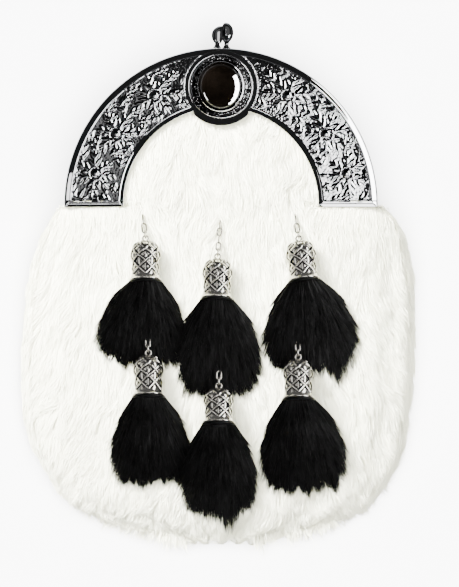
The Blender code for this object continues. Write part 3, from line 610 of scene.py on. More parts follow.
def claspHead(node, name, footX, footZ, half, lean):
    form = claspForm
    low, high = nodeBox(node)
    middle = 0.5 * (low + high)
    wide = middle[0] - low[0] + form["wider"]
    rows = [(low[1] + up, across, deep, 0.0) for up, across, deep in claspNeck]
    for angle in np.radians(np.linspace(*form["angles"], form["rows"])):
        across = max(math.cos(angle), 0.02) ** form["round"]
        shift = lean * wide * (1.0 - across) * (1.0 if angle > 0.0 else form["lowLean"])
        rows.append((high[1] - half + half * math.sin(angle), wide * across,
                     form["deep"] * across, shift))
    y, across, deep, shift = np.array(rows).T[..., None]
    share = smooth(form["upright"] * (y - low[1]) / (high[1] - low[1]))
    around = circle(form["around"])
    rings = hoops(around, across, deep, y)[..., [0, 2, 1]]
    rings[..., 0] += footX + (middle[0] - footX) * share + shift
    rings[..., 2] += footZ + (middle[2] - footZ) * share
    # painted shade: the head's sides are darkened, and only what faces the front stays bright
    sides, less, most = form["dark"]
    marks = sides - less * np.sin(around) * (deep / form["deep"]) ** 0.3
    makePiece(name, skin(rings), polishedSilver, (node,),
              {"hollow": np.clip(marks, 0.0, most).ravel()}, sharp=60.0)


domedStone()
for clasp in clasps:
    claspHead(*clasp)


# Purse frame behind the cantle, with its hinges

frameForm = {"deep": 5.6, "around": 121, "front": 0.35, "back": (0.4, 1.4)}
hingeForm = {"around": 32,
             "edge": (0.3, 0.4), "groove": (0.2, 0.25)}  # along the pin, in towards it


def backHalfRing():
    low, high = nodeBox("back_frame")
    outer, bottom, top = high[0], low[2], high[2]
    inner, front, (near, far) = outer - frameForm["deep"], frameForm["front"], frameForm["back"]
    section = [(inner, top), (outer - front, top), (outer, top - front), (outer, bottom + far),
               (outer - near, bottom + near), (outer - far, bottom), (inner, bottom)]
    makePiece("backHalfRing", skin(archRings(frameForm["around"], [footDrop], *np.array(section).T)),
              polishedSilver, ("back_frame",), sharp=30.0)


def hingeBarrel(node, name):
    low, high = nodeBox(node)
    middle = 0.5 * (low + high)
    half, _, radius = high - middle
    (edge, worn), (groove, deep) = hingeForm["edge"], hingeForm["groove"]
    rows = [(-half, radius - worn), (-half + edge, radius), (-groove, radius),
            (0.0, radius - deep), (groove, radius), (half - edge, radius), (half, radius - worn)]
    x, r = np.array(rows).T[..., None]
    rings = np.roll(hoops(circle(hingeForm["around"]), r, r, x), 1, axis=-1)
    makePiece(name, skin(rings + middle), polishedSilver, (node,), sharp=40.0)


backHalfRing()
for side in ("left", "right"):
    hingeBarrel("hinge_" + side, "hingeBarrel" + side.title())


# Leather: back panel, gusset, front panel and belt loops

pouchForm = {"arcR": 77.5, "halfWidth": 85.0, "widestY": -70.0, "bottomY": -147.0,
             "thick": 2.0, "columns": 41, "rows": (40, 60), "edges": (4.0, 88.0),
             # the pouch's roundness under its widest place, where the back rises to the frame,
             # and how its edges are worn: how far in, outside, inside
             "round": (2.6, 2.2), "rise": (-60.0, 46.0), "worn": (1.2, 0.7, 0.28)}
loopForm = {"bevel": 0.45, "inset": (1.6, 2.4), "sunk": 0.1}
stitchForm = {"inset": 3.6, "from": 14.0, "sunk": 0.3, "long": 2.0, "gap": 1.1, "first": 0.2,
              "clear": 0.03, "bow": 0.1, "sides": 6}
stitchRows = [(0.0, 0.08), (0.12, 0.26), (0.5, 0.32), (0.88, 0.26), (1.0, 0.08)]  # share, radius


def pouchHalfWidth(y):
    form = pouchForm
    arcR, wide, widestY = form["arcR"], form["halfWidth"], form["widestY"]
    down, out = form["round"]
    above = np.sqrt(np.maximum(0.0, arcR ** 2 - y ** 2))
    swell = arcR + (wide - arcR) * np.sin(0.5 * math.pi * y / widestY)
    depth = np.clip((widestY - y) / (widestY - form["bottomY"]), 0.0, 1.0)
    below = wide * (1.0 - depth ** down) ** (1.0 / out)
    return np.where(y >= 0.0, above, np.where(y > widestY, swell, below))


def backZ(y):
    start, reach = pouchForm["rise"]
    high = nodeBox("back_panel")[1][2] - pouchForm["thick"]
    return high * smooth((y - start) / reach)


def stitchRow(path, sunk):
    # stitches along a path on the back, each a small rounded bar sunk a little in the leather
    form = stitchForm
    outward = np.array([0.0, 0.0, -1.0])
    along = np.concatenate([[0.0], np.cumsum(np.linalg.norm(np.diff(path, axis=0), axis=1))])
    count = int(along[-1] / (form["long"] + form["gap"]))
    turns = circle(form["sides"])[:, None]
    parts = []
    for k in range(count):
        start = (k + form["first"]) * along[-1] / count
        first, last = ([np.interp(d, along, path[:, i]) for i in range(3)]
                       for d in (start, start + form["long"]))
        run = np.subtract(last, first)
        side = np.cross(unit(run), outward)
        rings = np.array([first + run * t + outward * (form["bow"] * math.sin(math.pi * t) - sunk)
                          + r * (side * np.cos(turns) + outward * np.sin(turns))
                          for t, r in stitchRows])
        rings[..., 2] = np.maximum(rings[..., 2], form["clear"])
        parts.append(skin(rings))
    return joined(parts)


def backLeather():
    form = pouchForm
    share = np.sin(0.5 * math.pi * np.linspace(-1.0, 1.0, form["columns"]))
    (upper, lower), (top, side), (reach, outside, inside) = (form["rows"], form["edges"],
                                                             form["worn"])
    ys = np.concatenate([form["arcR"] * np.cos(np.radians(np.linspace(top, side, upper))),
                         form["bottomY"] * np.sin(np.radians(np.linspace(0.0, side, lower)))])
    half = pouchHalfWidth(ys)
    y, z = ys[:, None], backZ(ys)[:, None]
    x = half[:, None] * share
    edge = np.minimum(half[:, None] - np.abs(x), np.minimum(form["arcR"] - y, y - form["bottomY"]))
    worn = 1.0 - smooth(edge / reach)
    outer = np.stack(np.broadcast_arrays(x, y, z + outside * worn), axis=-1)
    inner = np.stack(np.broadcast_arrays(x, y, z + form["thick"] - inside * worn), axis=-1)
    makePiece("backLeather", skin(np.concatenate([outer, inner[:, ::-1]], axis=1)), blackLeather,
              ("back_panel",), sharp=60.0)
    left = np.stack([stitchForm["inset"] - half, ys, backZ(ys)], axis=-1)
    left = left[half > stitchForm["from"]]
    path = np.concatenate([left, left[::-1] * (-1.0, 1.0, 1.0)])
    makePiece("backStitching", stitchRow(path, stitchForm["sunk"]), blackLeather)


def bevelled(node, name, finish, width, levels=0):
    # a CAD node's own shape with its edges rounded, or its surface
    piece = inScene(name, frame["nodes"][node].data.copy())
    piece.modifiers.new("weld", "WELD").merge_threshold = 0.01 * metre
    if width:
        bevel = piece.modifiers.new("bevel", "BEVEL")
        bevel.width, bevel.segments = width * metre, 3
        bevel.limit_method, bevel.angle_limit = "ANGLE", math.radians(40.0)
    if levels:
        surface = piece.modifiers.new("surface", "SUBSURF")
        surface.levels = surface.render_levels = levels
    bpy.context.view_layer.update()
    shaped = piece.evaluated_get(bpy.context.evaluated_depsgraph_get())
    piece.data = bpy.data.meshes.new_from_object(shaped)
    piece.modifiers.clear()
    piece.data.name = name
    piece.data.shade_smooth()
    piece.data.set_sharp_from_angle(angle=math.radians(50.0))
    return dress(piece, finish, (node,))


def beltLoop(node, name):
    bevelled(node, name, blackLeather, loopForm["bevel"])
    low, high = nodeBox(node)
    x, y = loopForm["inset"]
    rows = [stitchRow(np.array([(low[0] + x, at, low[2]), (high[0] - x, at, low[2])]),
                      loopForm["sunk"]) for at in (low[1] + y, high[1] - y)]
    makePiece(name + "Stitching", joined(rows), blackLeather)


backLeather()
for side in ("left", "right"):
    beltLoop("belt_loop_" + side, "beltLoop" + side.title())
bevelled("gusset", "gussetLeather", blackLeather, 0.4)
bevelled("front_panel", "frontLeather", blackLeather, 0.5)
print("leather and frame done")


# Tassels: cone, chain and brush

# the chain's upper end, both ends of the cone, the brush's tip and half width, chain links
Tassel = namedtuple("Tassel", "name chainTop coneTop rim tip half links")
tassels = [
    Tassel("1", (-39.2, -5.0), (-37.6, -18.0), (-37.5, -38.0), (-40.8, -80.5), 18.8, 2),
    Tassel("2", (-0.4, -8.0), (-1.6, -27.0), (-2.0, -47.0), (-0.4, -96.0), 18.2, 4),
    Tassel("3", (37.0, -5.0), (39.0, -18.0), (41.4, -37.8), (46.6, -84.5), 20.2, 2),
    Tassel("4", (-36.6, -66.5), (-36.2, -75.0), (-36.0, -95.4), (-35.0, -141.0), 16.9, 1),
    Tassel("5", (-1.0, -83.0), (-1.1, -91.4), (-1.2, -108.8), (-1.2, -156.0), 16.3, 1),
    Tassel("6", (38.2, -68.5), (38.4, -77.0), (38.6, -96.8), (42.4, -144.6), 18.4, 1),
]
coneForm = {"tilt": 11.0, "rimR": 8.0, "length": 20.0, "around": 72, "rows": 44,
            "bands": 6, "bandRows": 34, "twist": 1.1, "bandWide": 0.62, "weave": 0.12,
            "bandFrom": 0.15, "bandTo": 0.955,
            # the cells between the bands: height, share of it that lies under the bands, how
            # far from them it is reached, their slant, and how they fade out at both ends
            "pillow": 0.34, "under": 0.6, "rise": 1.6, "slant": 0.8, "fade": (0.03, 0.02)}
bandSection = [
    # across, out from the cone, how sunk; the flanges are blackened
    (0.0, -0.5, 1.0), (1.02, -0.1, 1.0), (0.92, 0.04, 1.0), (0.6, 0.1, 1.0), (0.46, 0.32, 0.4),
    (0.0, 0.44, 0.0), (-0.46, 0.32, 0.4), (-0.6, 0.1, 1.0), (-0.92, 0.04, 1.0), (-1.02, -0.1, 1.0),
]
coneProfile = [
    # height above the rim, outer radius
    (0.0, 7.6), (0.3, 8.0), (0.7, 8.0), (1.1, 7.6), (2.6, 7.05), (5.0, 6.6), (8.0, 6.5),
    (11.0, 7.0), (13.5, 7.25), (15.8, 6.8), (17.8, 5.4), (19.0, 3.6), (19.7, 1.9), (20.0, 0.9),
]
coneBore = [(8.0, 1.6), (8.0, 4.8), (4.0, 5.6), (0.6, 6.7), (0.0, 7.2)]  # the same inside
chainForm = {"sides": 24, "wireSides": 10, "eyeR": 1.4, "wireR": 0.45, "ringR": 1.85, "roundR": 1.1,
             "bite": 0.12, "eyeSunk": 0.2, "slack": 0.3, "dull": 0.3,
             "onPelt": 1.6, "onBrush": 7.2}  # how high the chain's upper end lies
# the pelt's heights are read on this grid, looking down from over; rimZ holds outside it
peltGrid = {"x": (-106.0, 106.1), "y": (-182.0, 62.1), "step": 2.0, "over": 90.0, "rimZ": 4.0}


def peltSurface():
    # heights of the pelt's top on an even grid, its CAD grooves blurred away, and how far
    # inside the pelt's outline each place lies
    tree = rayTree(*nodeMesh("fur_pelt"))
    step = peltGrid["step"]
    xs, ys = (np.arange(*peltGrid[way], step) for way in "xy")
    down = Vector((0.0, 0.0, -1.0))
    hits = [[tree.ray_cast(Vector((x, y, peltGrid["over"])), down)[0] for x in xs] for y in ys]
    known = np.array([[hit is not None for hit in row] for row in hits])
    z = np.array([[hit.z if hit else peltGrid["rimZ"] for hit in row] for row in hits])
    z = np.where(known, blurred(blurred(z, (1, 1, 1)), (1, 1, 1)), z)
    inside, edge = known, np.zeros_like(z)
    while inside.any():  # wears the outline away a step at a time
        edge += step * inside
        inside = np.logical_and.reduce([inside] + [np.roll(inside, way, axis)
                                                   for way in (1, -1) for axis in (0, 1)])
    return xs, ys, z, edge


peltX, peltY, peltZ, peltEdge = peltSurface()


def surfaceZ(x, y):
    step = peltGrid["step"]
    u = np.clip((x - peltX[0]) / step, 0.0, len(peltX) - 1.001)
    v = np.clip((y - peltY[0]) / step, 0.0, len(peltY) - 1.001)
    i, j = u.astype(int), v.astype(int)
    a, b = u - i, v - j
    return ((peltZ[j, i] * (1 - a) + peltZ[j, i + 1] * a) * (1 - b)
            + (peltZ[j + 1, i] * (1 - a) + peltZ[j + 1, i + 1] * a) * b)


def axisFrame(at, along):
    # a point and rows x, y, z: y along a direction, z as near to the front as it can be
    y = unit(along)
    x = unit(np.cross(y, (0.0, 0.0, 1.0)))
    return at, np.stack([x, y, np.cross(x, y)])


def placed(frameAt, points):
    at, axes = frameAt
    return at + np.asarray(points) @ axes


def coneFrame(tassel):
    # the rim's centre, with y up the cone's axis; the rim stands off the pelt
    tilt = math.radians(coneForm["tilt"])
    rimZ = nodeBox("tassel_cone_" + tassel.name)[1][2] - coneForm["rimR"] * math.cos(tilt)
    flat = np.subtract(tassel.coneTop, tassel.rim)
    along = np.array([*flat, -np.linalg.norm(flat) * math.tan(tilt)])
    return axisFrame(np.array([*tassel.rim, rimZ]), along), np.linalg.norm(along)


def bell(around, radius, height):
    # rings about a cone's axis, from columns of radii and heights over its rim
    return hoops(around, radius, radius, height)[..., [1, 2, 0]]


def torusLink(frameAt, halfStraight, roundR):
    form = chainForm
    sides, around = circle(form["sides"]) + math.pi / form["sides"], circle(form["wireSides"])
    out = np.stack([np.cos(sides), np.sin(sides), 0.0 * sides], axis=-1)
    middles = out * roundR
    middles[:, 1] += np.copysign(halfStraight, out[:, 1])
    wire = np.cos(around)[:, None] * out[:, None] + np.sin(around)[:, None] * (0.0, 0.0, 1.0)
    rings = middles[:, None] + form["wireR"] * wire
    points, faces = skin(np.concatenate([rings, rings[:1]]), caps=False)
    count = form["sides"] * form["wireSides"]
    return placed(frameAt, points[:count]), [face % count for face in faces]


def latticeBand(frameAt, length, curve, first, way):
    # one raised band wound up the cone, passing over and under those wound the other way
    form = coneForm
    t = np.linspace(form["bandFrom"], form["bandTo"], form["bandRows"])
    turn = 2.0 * math.pi * ((first + 0.5) / form["bands"] - way * 0.5 * form["twist"] * t)
    sway = way * form["weave"] * np.cos(math.pi * form["bands"] * form["twist"] * t)
    radius = np.interp(t * form["length"], curve[:, 0], curve[:, 1]) + sway
    out = np.stack([np.sin(turn), 0.0 * t, np.cos(turn)], axis=-1)
    path = out * radius[:, None] + np.outer(t * length, (0.0, 1.0, 0.0))
    run = unit(np.gradient(path, axis=0))
    side = unit(np.cross(run, out))
    lift = np.cross(side, run)
    rings = [path + side * across + lift * proud for across, proud, _ in bandSection]
    points, faces = skin(np.stack(rings, axis=1))
    return placed(frameAt, points), faces, np.tile([mark for _, _, mark in bandSection], len(t))


def tasselCone(tassel):
    form = coneForm
    frameAt, length = coneFrame(tassel)
    curve = curveThrough(coneProfile, form["rows"])
    around = circle(form["around"])
    t, radius = curve[:, :1] / form["length"], curve[:, 1:]
    offs = [np.abs(form["bands"] * (around / (2.0 * math.pi) + way * 0.5 * form["twist"] * t) % 1.0
                   - 0.5) for way in (1.0, -1.0)]
    cell = 2.0 * math.pi * radius / form["bands"] * form["slant"]
    away = np.minimum(*offs) * cell - form["bandWide"]  # millimetres from the nearest band
    low, high = form["fade"]
    field = smooth((t - form["bandFrom"]) / low) * smooth((form["bandTo"] + high - t) / high)
    radius = radius + form["pillow"] * (smooth(away / form["rise"]) - form["under"]) * field
    up, boreR = np.array(coneBore).T[..., None]
    rings = np.concatenate([bell(around, boreR, up), bell(around, radius, t * length)])
    points, faces = skin(rings)
    hollow = np.repeat(np.arange(len(rings)) < len(coneBore), form["around"])
    parts, marks = [(placed(frameAt, points), faces)], [1.0 * hollow]
    for first in range(form["bands"]):
        for way in (1.0, -1.0):
            *band, bandMarks = latticeBand(frameAt, length, curve, first, way)
            parts.append(band)
            marks.append(bandMarks)
    at, axes = frameAt
    eye = (at + axes[1] * (length + chainForm["eyeR"] - chainForm["eyeSunk"]), axes)
    parts.append(torusLink(eye, 0.0, chainForm["eyeR"]))
    marks.append(np.full(len(parts[-1][0]), chainForm["dull"]))
    makePiece("bellCone" + tassel.name, joined(parts), antiqueSilver,
              ("tassel_cone_" + tassel.name,), {"hollow": np.concatenate(marks)}, sharp=50.0)


def tasselChain(tassel):
    form = chainForm
    (at, axes), length = coneFrame(tassel)
    eye = at + axes[1] * (length + form["eyeR"])
    rise = form["onPelt"] if tassel.links > 1 else form["onBrush"]
    start = np.array([*tassel.chainTop, surfaceZ(*np.array(tassel.chainTop)) + rise])
    along = unit(start - eye)
    inner = form["ringR"] - 2.0 * form["wireR"]
    ringAt, flat = axisFrame(eye + along * (form["eyeR"] + inner - form["slack"]), along)
    upright = np.array([[0.0, 0.0, -1.0], [0.0, 1.0, 0.0], [1.0, 0.0, 0.0]]) @ flat
    parts = [torusLink((ringAt, upright), 0.0, form["ringR"])]
    outer = ringAt + along * (inner + form["bite"])
    half = 0.5 * (np.linalg.norm(start - outer) / tassel.links + 2.0 * form["wireR"])
    for k in range(tassel.links):  # every other link lies flat
        middle = outer + along * (half + 2.0 * k * half - (2.0 * k + 1.0) * form["wireR"])
        straight = half + 0.5 * form["bite"] - form["roundR"] - form["wireR"]
        parts.append(torusLink((middle, upright if k % 2 else flat), straight, form["roundR"]))
    shape = joined(parts)
    makePiece("chainLinks" + tassel.name, shape, antiqueSilver, ("tassel_chain_" + tassel.name,),
              {"hollow": np.full(len(shape[0]), form["dull"])})


for tassel in tassels:
    tasselCone(tassel)
    tasselChain(tassel)
print("cones and chains done")


# Hair: ribbons that taper to a point, many in one piece; first the tassels' brushes

def makeHair(name, finish, node, paths, widths, sideways, profile, shades):
    # paths are (hairs, stations, 3); the last station is the tip
    count, stations = paths.shape[:2]
    half = 0.5 * widths[:, None, None] * np.asarray(profile)[None, :, None] * sideways
    left, right = paths - half, paths + half
    body = np.stack([left[:, :-1], right[:, :-1]], axis=2).reshape(count, -1, 3)
    points = np.concatenate([body, paths[:, -1:]], axis=1)
    each = points.shape[1]
    base = (np.arange(count) * each)[:, None]
    quads = [np.stack([base + 2 * k, base + 2 * k + 1, base + 2 * k + 3, base + 2 * k + 2],
                      axis=-1).reshape(-1, 4) for k in range(stations - 2)]
    last = 2 * (stations - 2)
    tips = np.stack([base + last, base + last + 1, base + each - 1], axis=-1).reshape(-1, 3)
    makePiece(name, (points.reshape(-1, 3), [np.concatenate(quads), tips]), finish, (node,),
              {"shade": np.repeat(shades, each)}, turnOut=False)


def acrossPath(paths, upward, roll):
    # the sideways direction of each ribbon, rolled a little about its own run
    run = unit(np.gradient(paths, axis=1))
    side = unit(np.cross(run, upward))
    lifted = np.cross(side, run)
    return side * np.cos(roll)[:, None, None] + lifted * np.sin(roll)[:, None, None]


brushForm = {
    "hairs": 9600, "clumps": 460, "stations": 3, "width": 0.26, "long": (9.0, 15.0), "seed": 21,
    "taper": (1.0, 0.9, 0.0), "fringe": 1800, "coreAround": 48, "collarAround": 72,
    # the radius at the cone's rim, how far inside the cone the fan's middle lies, how much
    # hair fans out, and how much a clump draws together
    "neckR": 7.8, "apex": 5.0, "fan": 0.9, "wisps": 0.62,
    # where hair starts: how far round to each side in degrees, the share of it that starts at
    # the rim, and how far along the brush the rest and the fringe start
    "over": 108.0, "atRim": 0.2, "along": (0.0, 0.9), "fringeAlong": (0.15, 0.85),
    # the clumps: how far round, where they end, how proud they are, and how much more at the sides
    "clumpOver": 110.0, "clumpEnd": (0.22, 1.08), "clumpProud": (0.2, 1.7), "ragged": (-1.0, 2.9),
    # how far a hair leans to its clump, how proud its tip is to its clump's, and the fringe's
    "pull": (0.2, 0.8), "fringePull": (-0.5, 0.3), "proud": (0.5, 1.4), "fringeProud": (0.3, 4.6),
}
brushTips = {  # wisps that hang lower: out from the axis, how much further, half width
    "1": (8.0, -0.05, 4.0), "2": (-1.0, 0.06, 6.0), "3": (12.5, 0.14, 3.0), "4": (6.0, -0.08, 3.0),
    "5": (4.8, 0.17, 4.2), "6": (-6.0, -0.04, 5.0),
}
brushProfile = [
    # share of the length, share of the half width, underside and top over the pelt
    (0.00, 0.42, 2.6, 15.4), (0.08, 0.56, 1.8, 15.5), (0.16, 0.70, 1.2, 15.2),
    (0.30, 0.86, 0.6, 13.4), (0.46, 0.92, 0.4, 11.0), (0.64, 0.88, 0.4, 8.2),
    (0.80, 0.80, 0.4, 5.8), (0.92, 0.70, 0.4, 4.2), (1.00, 0.60, 0.4, 3.0), (1.16, 0.46, 0.4, 1.8),
]
collarProfile = [
    # height over the cone's rim, radius
    (0.0, 6.9), (-0.02, 8.0), (-0.25, 8.4), (-0.6, 8.5), (-0.95, 8.38), (-1.2, 8.0), (-1.25, 6.9),
]


def brushSurface(tassel, share, turn, proud):
    # a point over the brush: turn goes round it from the top, proud is out from its surface
    rim, run = np.array(tassel.rim), np.subtract(tassel.tip, tassel.rim)
    length = np.linalg.norm(run)
    along = run / length
    table = np.array(brushProfile)
    wide, low, high = (np.interp(share, table[:, 0], table[:, k]) for k in (1, 2, 3))
    side, top = np.sin(turn), np.cos(turn)
    offset = side * (wide * tassel.half + proud)
    x = rim[0] + along[0] * length * share - along[1] * offset
    y = rim[1] + along[1] * length * share + along[0] * offset
    middle = low + 0.32 * (high - low)
    crown = np.abs(top) ** 0.8
    z = np.where(top > 0.0, middle + (high - middle + proud) * crown, middle - (middle - low) * crown)
    # the lower tassels lie on the brushes over them
    lift = (0.0 if tassel.links > 1 else 2.4) * (1.0 - 0.75 * smooth((share - 0.55) / 0.35))
    body = np.stack([x, y, surfaceZ(x, y) + z + lift], axis=-1)
    (at, axes), _ = coneFrame(tassel)
    radius = brushForm["neckR"] + proud
    neck = at + (axes[0] * (side * radius)[..., None] + axes[2] * (top * radius)[..., None]
                 - axes[1] * (share * length)[..., None])
    blend = smooth(share / 0.14)[..., None]
    return neck * (1.0 - blend) + body * blend


def brushCore(tassel):
    # the dark body under the hair, and the collar at the cone's rim
    stands, turns, rings = ("tassel_fur_" + tassel.name,), circle(brushForm["coreAround"]), []
    for share in [*np.linspace(0.0, 0.9, 20), 0.94, 0.97]:
        sunk = 1.4 if share > 0.05 else 0.4
        ring = brushSurface(tassel, share + 0.0 * turns, turns, 0.0 * turns - sunk)
        centre = ring.mean(axis=0)
        close = 1.0 - 0.97 * smooth((share - 0.82) / 0.15)
        rings.append(centre + (ring - centre) * close)
    makePiece("brushCore" + tassel.name, skin(rings), blackHair, stands)
    height, radius = np.array(collarProfile).T[..., None]
    points, faces = skin(bell(circle(brushForm["collarAround"]), radius, height))
    makePiece("brushCollar" + tassel.name, (placed(coneFrame(tassel)[0], points), faces),
              blackHair, stands)


def raggedEnds(tassel, random, turn, end, owner, clumpTurn, loose):
    # ends the hairs at the brush's ragged edge, with a wisp that hangs lower
    middle = clumpTurn[owner]
    edge = (1.01 - 0.12 * np.abs(np.sin(middle)) ** 3 + 0.04 * np.sin(middle * 7.0 + tassel.half)
            + random.normal(0.0, 0.035, len(clumpTurn))[owner]
            + random.normal(0.0, 0.05, len(turn)))
    out, further, half = brushTips[tassel.name]
    wisp = further * np.exp(-((np.sin(turn) * 0.9 * tassel.half - out) / half) ** 2)
    return np.minimum(np.where(end > 0.8, end + wisp, end), edge + wisp + 0.05 * loose)


def fannedOut(paths, owner, apex, reach, fan):
    # at the sides the hair fans straight out from the cone, and everywhere it ends in wisps
    clumps = brushForm["clumps"]
    away = paths[:, 0, :2] - apex
    away *= (reach / np.linalg.norm(away, axis=1))[:, None]
    members = np.maximum(np.bincount(owner, minlength=clumps), 1)
    for at, t in zip(paths.transpose(1, 0, 2), np.linspace(0.0, 1.0, brushForm["stations"])):
        at[:, :2] += fan[:, None] * (paths[:, 0, :2] + away * t - at[:, :2])
        middle = np.stack([np.bincount(owner, way, clumps) / members for way in at.T], axis=-1)
        at += brushForm["wisps"] * t ** 1.6 * (middle[owner] - at)


def tasselBrush(tassel):
    form = brushForm
    random = np.random.default_rng(form["seed"] + int(tassel.name))
    count, clumps, stations = form["hairs"], form["clumps"], form["stations"]
    length = math.dist(tassel.rim, tassel.tip)
    loose = np.arange(count) < form["fringe"]  # fine hairs that stand out at the sides and end
    turn = np.radians(random.uniform(-form["over"], form["over"], count))
    start = np.where(random.uniform(size=count) < form["atRim"], 0.0,
                     random.uniform(*form["along"], count))
    start = np.where(loose, random.uniform(*form["fringeAlong"], count), start)
    end = start + random.uniform(*form["long"], count) / length
    clumpTurn = np.radians(random.uniform(-form["clumpOver"], form["clumpOver"], clumps))
    clumpEnd = random.uniform(*form["clumpEnd"], clumps)
    clumpProud = random.uniform(*form["clumpProud"], clumps) ** 1.2
    clumpProud += (np.abs(np.sin(clumpTurn)) ** 3 * random.uniform(*form["ragged"], clumps)
                   * smooth(clumpEnd / 0.45))
    # each hair belongs to a clump nearby, round the brush and along it
    gap = (np.abs(turn[:, None] - clumpTurn) * 16.0) ** 2 + ((end[:, None] - clumpEnd) * length) ** 2
    owner = np.argmin(gap + random.uniform(0.0, 16.0, gap.shape), axis=1)
    end = end + 0.4 * np.clip(clumpEnd[owner] - end, -0.15, 0.15)
    end = raggedEnds(tassel, random, turn, end, owner, clumpTurn, loose)
    start = np.minimum(start, end - 0.08)
    pull = np.where(loose, random.uniform(*form["fringePull"], count),
                    random.uniform(*form["pull"], count))
    proudTip = clumpProud[owner] * random.uniform(*form["proud"], count)
    proudTip = proudTip + loose * random.uniform(*form["fringeProud"], count)
    paths = np.empty((count, stations, 3))
    for k, t in enumerate(np.linspace(0.0, 1.0, stations)):
        lean = turn + (clumpTurn[owner] - turn) * pull * t ** 1.4
        proud = -0.9 * (1.0 - t) ** 2 * (start > 0.01) + proudTip * t ** 1.5
        paths[:, k] = brushSurface(tassel, start + (end - start) * t, lean, proud)
    apex = tassel.rim - form["apex"] * np.subtract(tassel.tip, tassel.rim) / length
    reach = (end - start) * length * random.uniform(0.8, 1.35, clumps)[owner]
    fan = form["fan"] * np.abs(np.sin(turn)) ** 1.5 * smooth((start - 0.12) / 0.2)
    fannedOut(paths, owner, apex, reach, fan)
    paths[:, 1:] += random.normal(0.0, 0.09, (count, stations - 1, 3))
    sideways = acrossPath(paths, np.array([0.0, 0.0, 1.0]), random.normal(0.0, 0.6, count))
    widths = form["width"] * random.uniform(0.6, 1.3, count) * np.where(loose, 0.5, 1.0)
    # each hair's tone differs at random; the few lighter ones are painted sheen
    makeHair("brushHair" + tassel.name, blackHair, "tassel_fur_" + tassel.name, paths, widths,
             sideways, form["taper"], random.uniform(0.0, 1.0, count) ** 2.5)


for tassel in tassels:
    brushCore(tassel)
    tasselBrush(tassel)
print("brushes done")


# White pelt: a skin with hair that lies down and outward over it

peltForm = {
    "hairs": 88000, "stations": 3, "width": 0.27, "length": (8.0, 14.0), "seed": 40,
    "taper": (0.8, 1.0, 0.0), "hem": (-150.0, 22.0, 4.0), "overhang": (0.1, 0.7),
    # the tufts: where they stand, their lift, lean and length, and how much they gather
    "tufts": 2400, "acrossX": (-100.0, 100.0), "alongY": (-178.0, 58.0), "tuftLift": (0.5, 1.5),
    "tuftLean": 0.22, "tuftLength": (0.8, 1.2), "gather": 0.42,
    # how high each station of a hair is lifted, how much that varies, and lean and roll
    "lift": (0.1, 1.7, 1.9), "liftVaries": (0.75, 1.25), "lean": 0.12, "roll": 0.35,
    "edgeShort": 0.75, "edgeReach": 20.0, "rootZ": 3.9, "floorZ": 0.6,
    # under what lies on the hair: how far under the pelt's top to look from, the gap kept, and
    # the height of open sky
    "below": 6.0, "gap": 0.35, "sky": 999.0,
}


def hemRise(y):
    # the hem ends a little higher than the solid's
    start, reach, rise = peltForm["hem"]
    return rise * smooth((start - y) / reach)


def peltSkin():
    piece = bevelled("fur_pelt", "peltSkin", whiteHair, 0.0, levels=2)
    for vertex in piece.data.vertices:
        y = vertex.co.y / metre - arcCentre[1]
        vertex.co.y += hemRise(y) * metre


def edgeDistance(x, y):
    # roughly how far inside the pelt's outline a point lies
    step = peltGrid["step"]
    i = np.clip(((x - peltX[0]) / step).round().astype(int), 0, len(peltX) - 1)
    j = np.clip(((y - peltY[0]) / step).round().astype(int), 0, len(peltY) - 1)
    return peltEdge[j, i]


def flowAt(x, y):
    # which way the hair lies, as a unit vector in the plane
    spread = 0.55 * np.sign(x) * np.abs(x / 95.0) ** 2.0 * smooth(-y / 60.0)
    spread = spread * (1.0 + 1.1 * smooth((-y - 110.0) / 50.0))
    wave = (0.16 * np.sin(x / 11.0 + 1.9 * np.sin(y / 15.0)) + 0.14 * np.sin(x / 5.3 + y / 8.0 + 2.0)
            + 0.12 * np.sin(y / 6.1 - x / 9.0 + 1.4 * np.sin(x / 13.0)))
    fx, fy = spread + wave, -np.ones_like(x)
    size = np.hypot(fx, fy)
    return fx / size, fy / size


def overheadTree():
    # the solids that lie on the hair, which it has to stay under
    names = ["cantle"] + ["tassel_%s_%s" % (kind, tassel.name) for tassel in tassels
                          for kind in ("cone", "fur")]
    points, faces = joined([(points, [triangles]) for points, triangles in map(nodeMesh, names)])
    return rayTree(points, np.concatenate(faces))


def ceilingOver(x, y, tree):
    up, base = Vector((0.0, 0.0, 1.0)), surfaceZ(x, y) - peltForm["below"]
    hits = (tree.ray_cast(Vector(place), up)[0] for place in zip(x, y, base))
    return np.array([hit.z if hit else peltForm["sky"] for hit in hits])


def peltRoots(random):
    # where the hairs stand on the pelt's top and sides, and its shape to lay them on
    points, triangles = nodeMesh("fur_pelt")
    a, b, c = (points[triangles[:, k]] for k in range(3))
    normal = np.cross(b - a, c - a)
    area = 0.5 * np.linalg.norm(normal, axis=1)
    normal /= np.maximum(2.0 * area[:, None], 1e-9)
    shown = (normal[:, 2] > -0.2) & ((a + b + c)[:, 2] / 3.0 > peltForm["rootZ"])
    weight = area * shown * (1.0 + 1.2 * np.hypot(normal[:, 0], normal[:, 1]))
    pick = random.choice(len(triangles), peltForm["hairs"], p=weight / weight.sum())
    u, v = random.uniform(size=(2, peltForm["hairs"]))
    flip = u + v > 1.0
    u, v = np.where(flip, 1.0 - u, u), np.where(flip, 1.0 - v, v)
    roots = a[pick] + (b - a)[pick] * u[:, None] + (c - a)[pick] * v[:, None]
    return roots, rayTree(points, triangles)


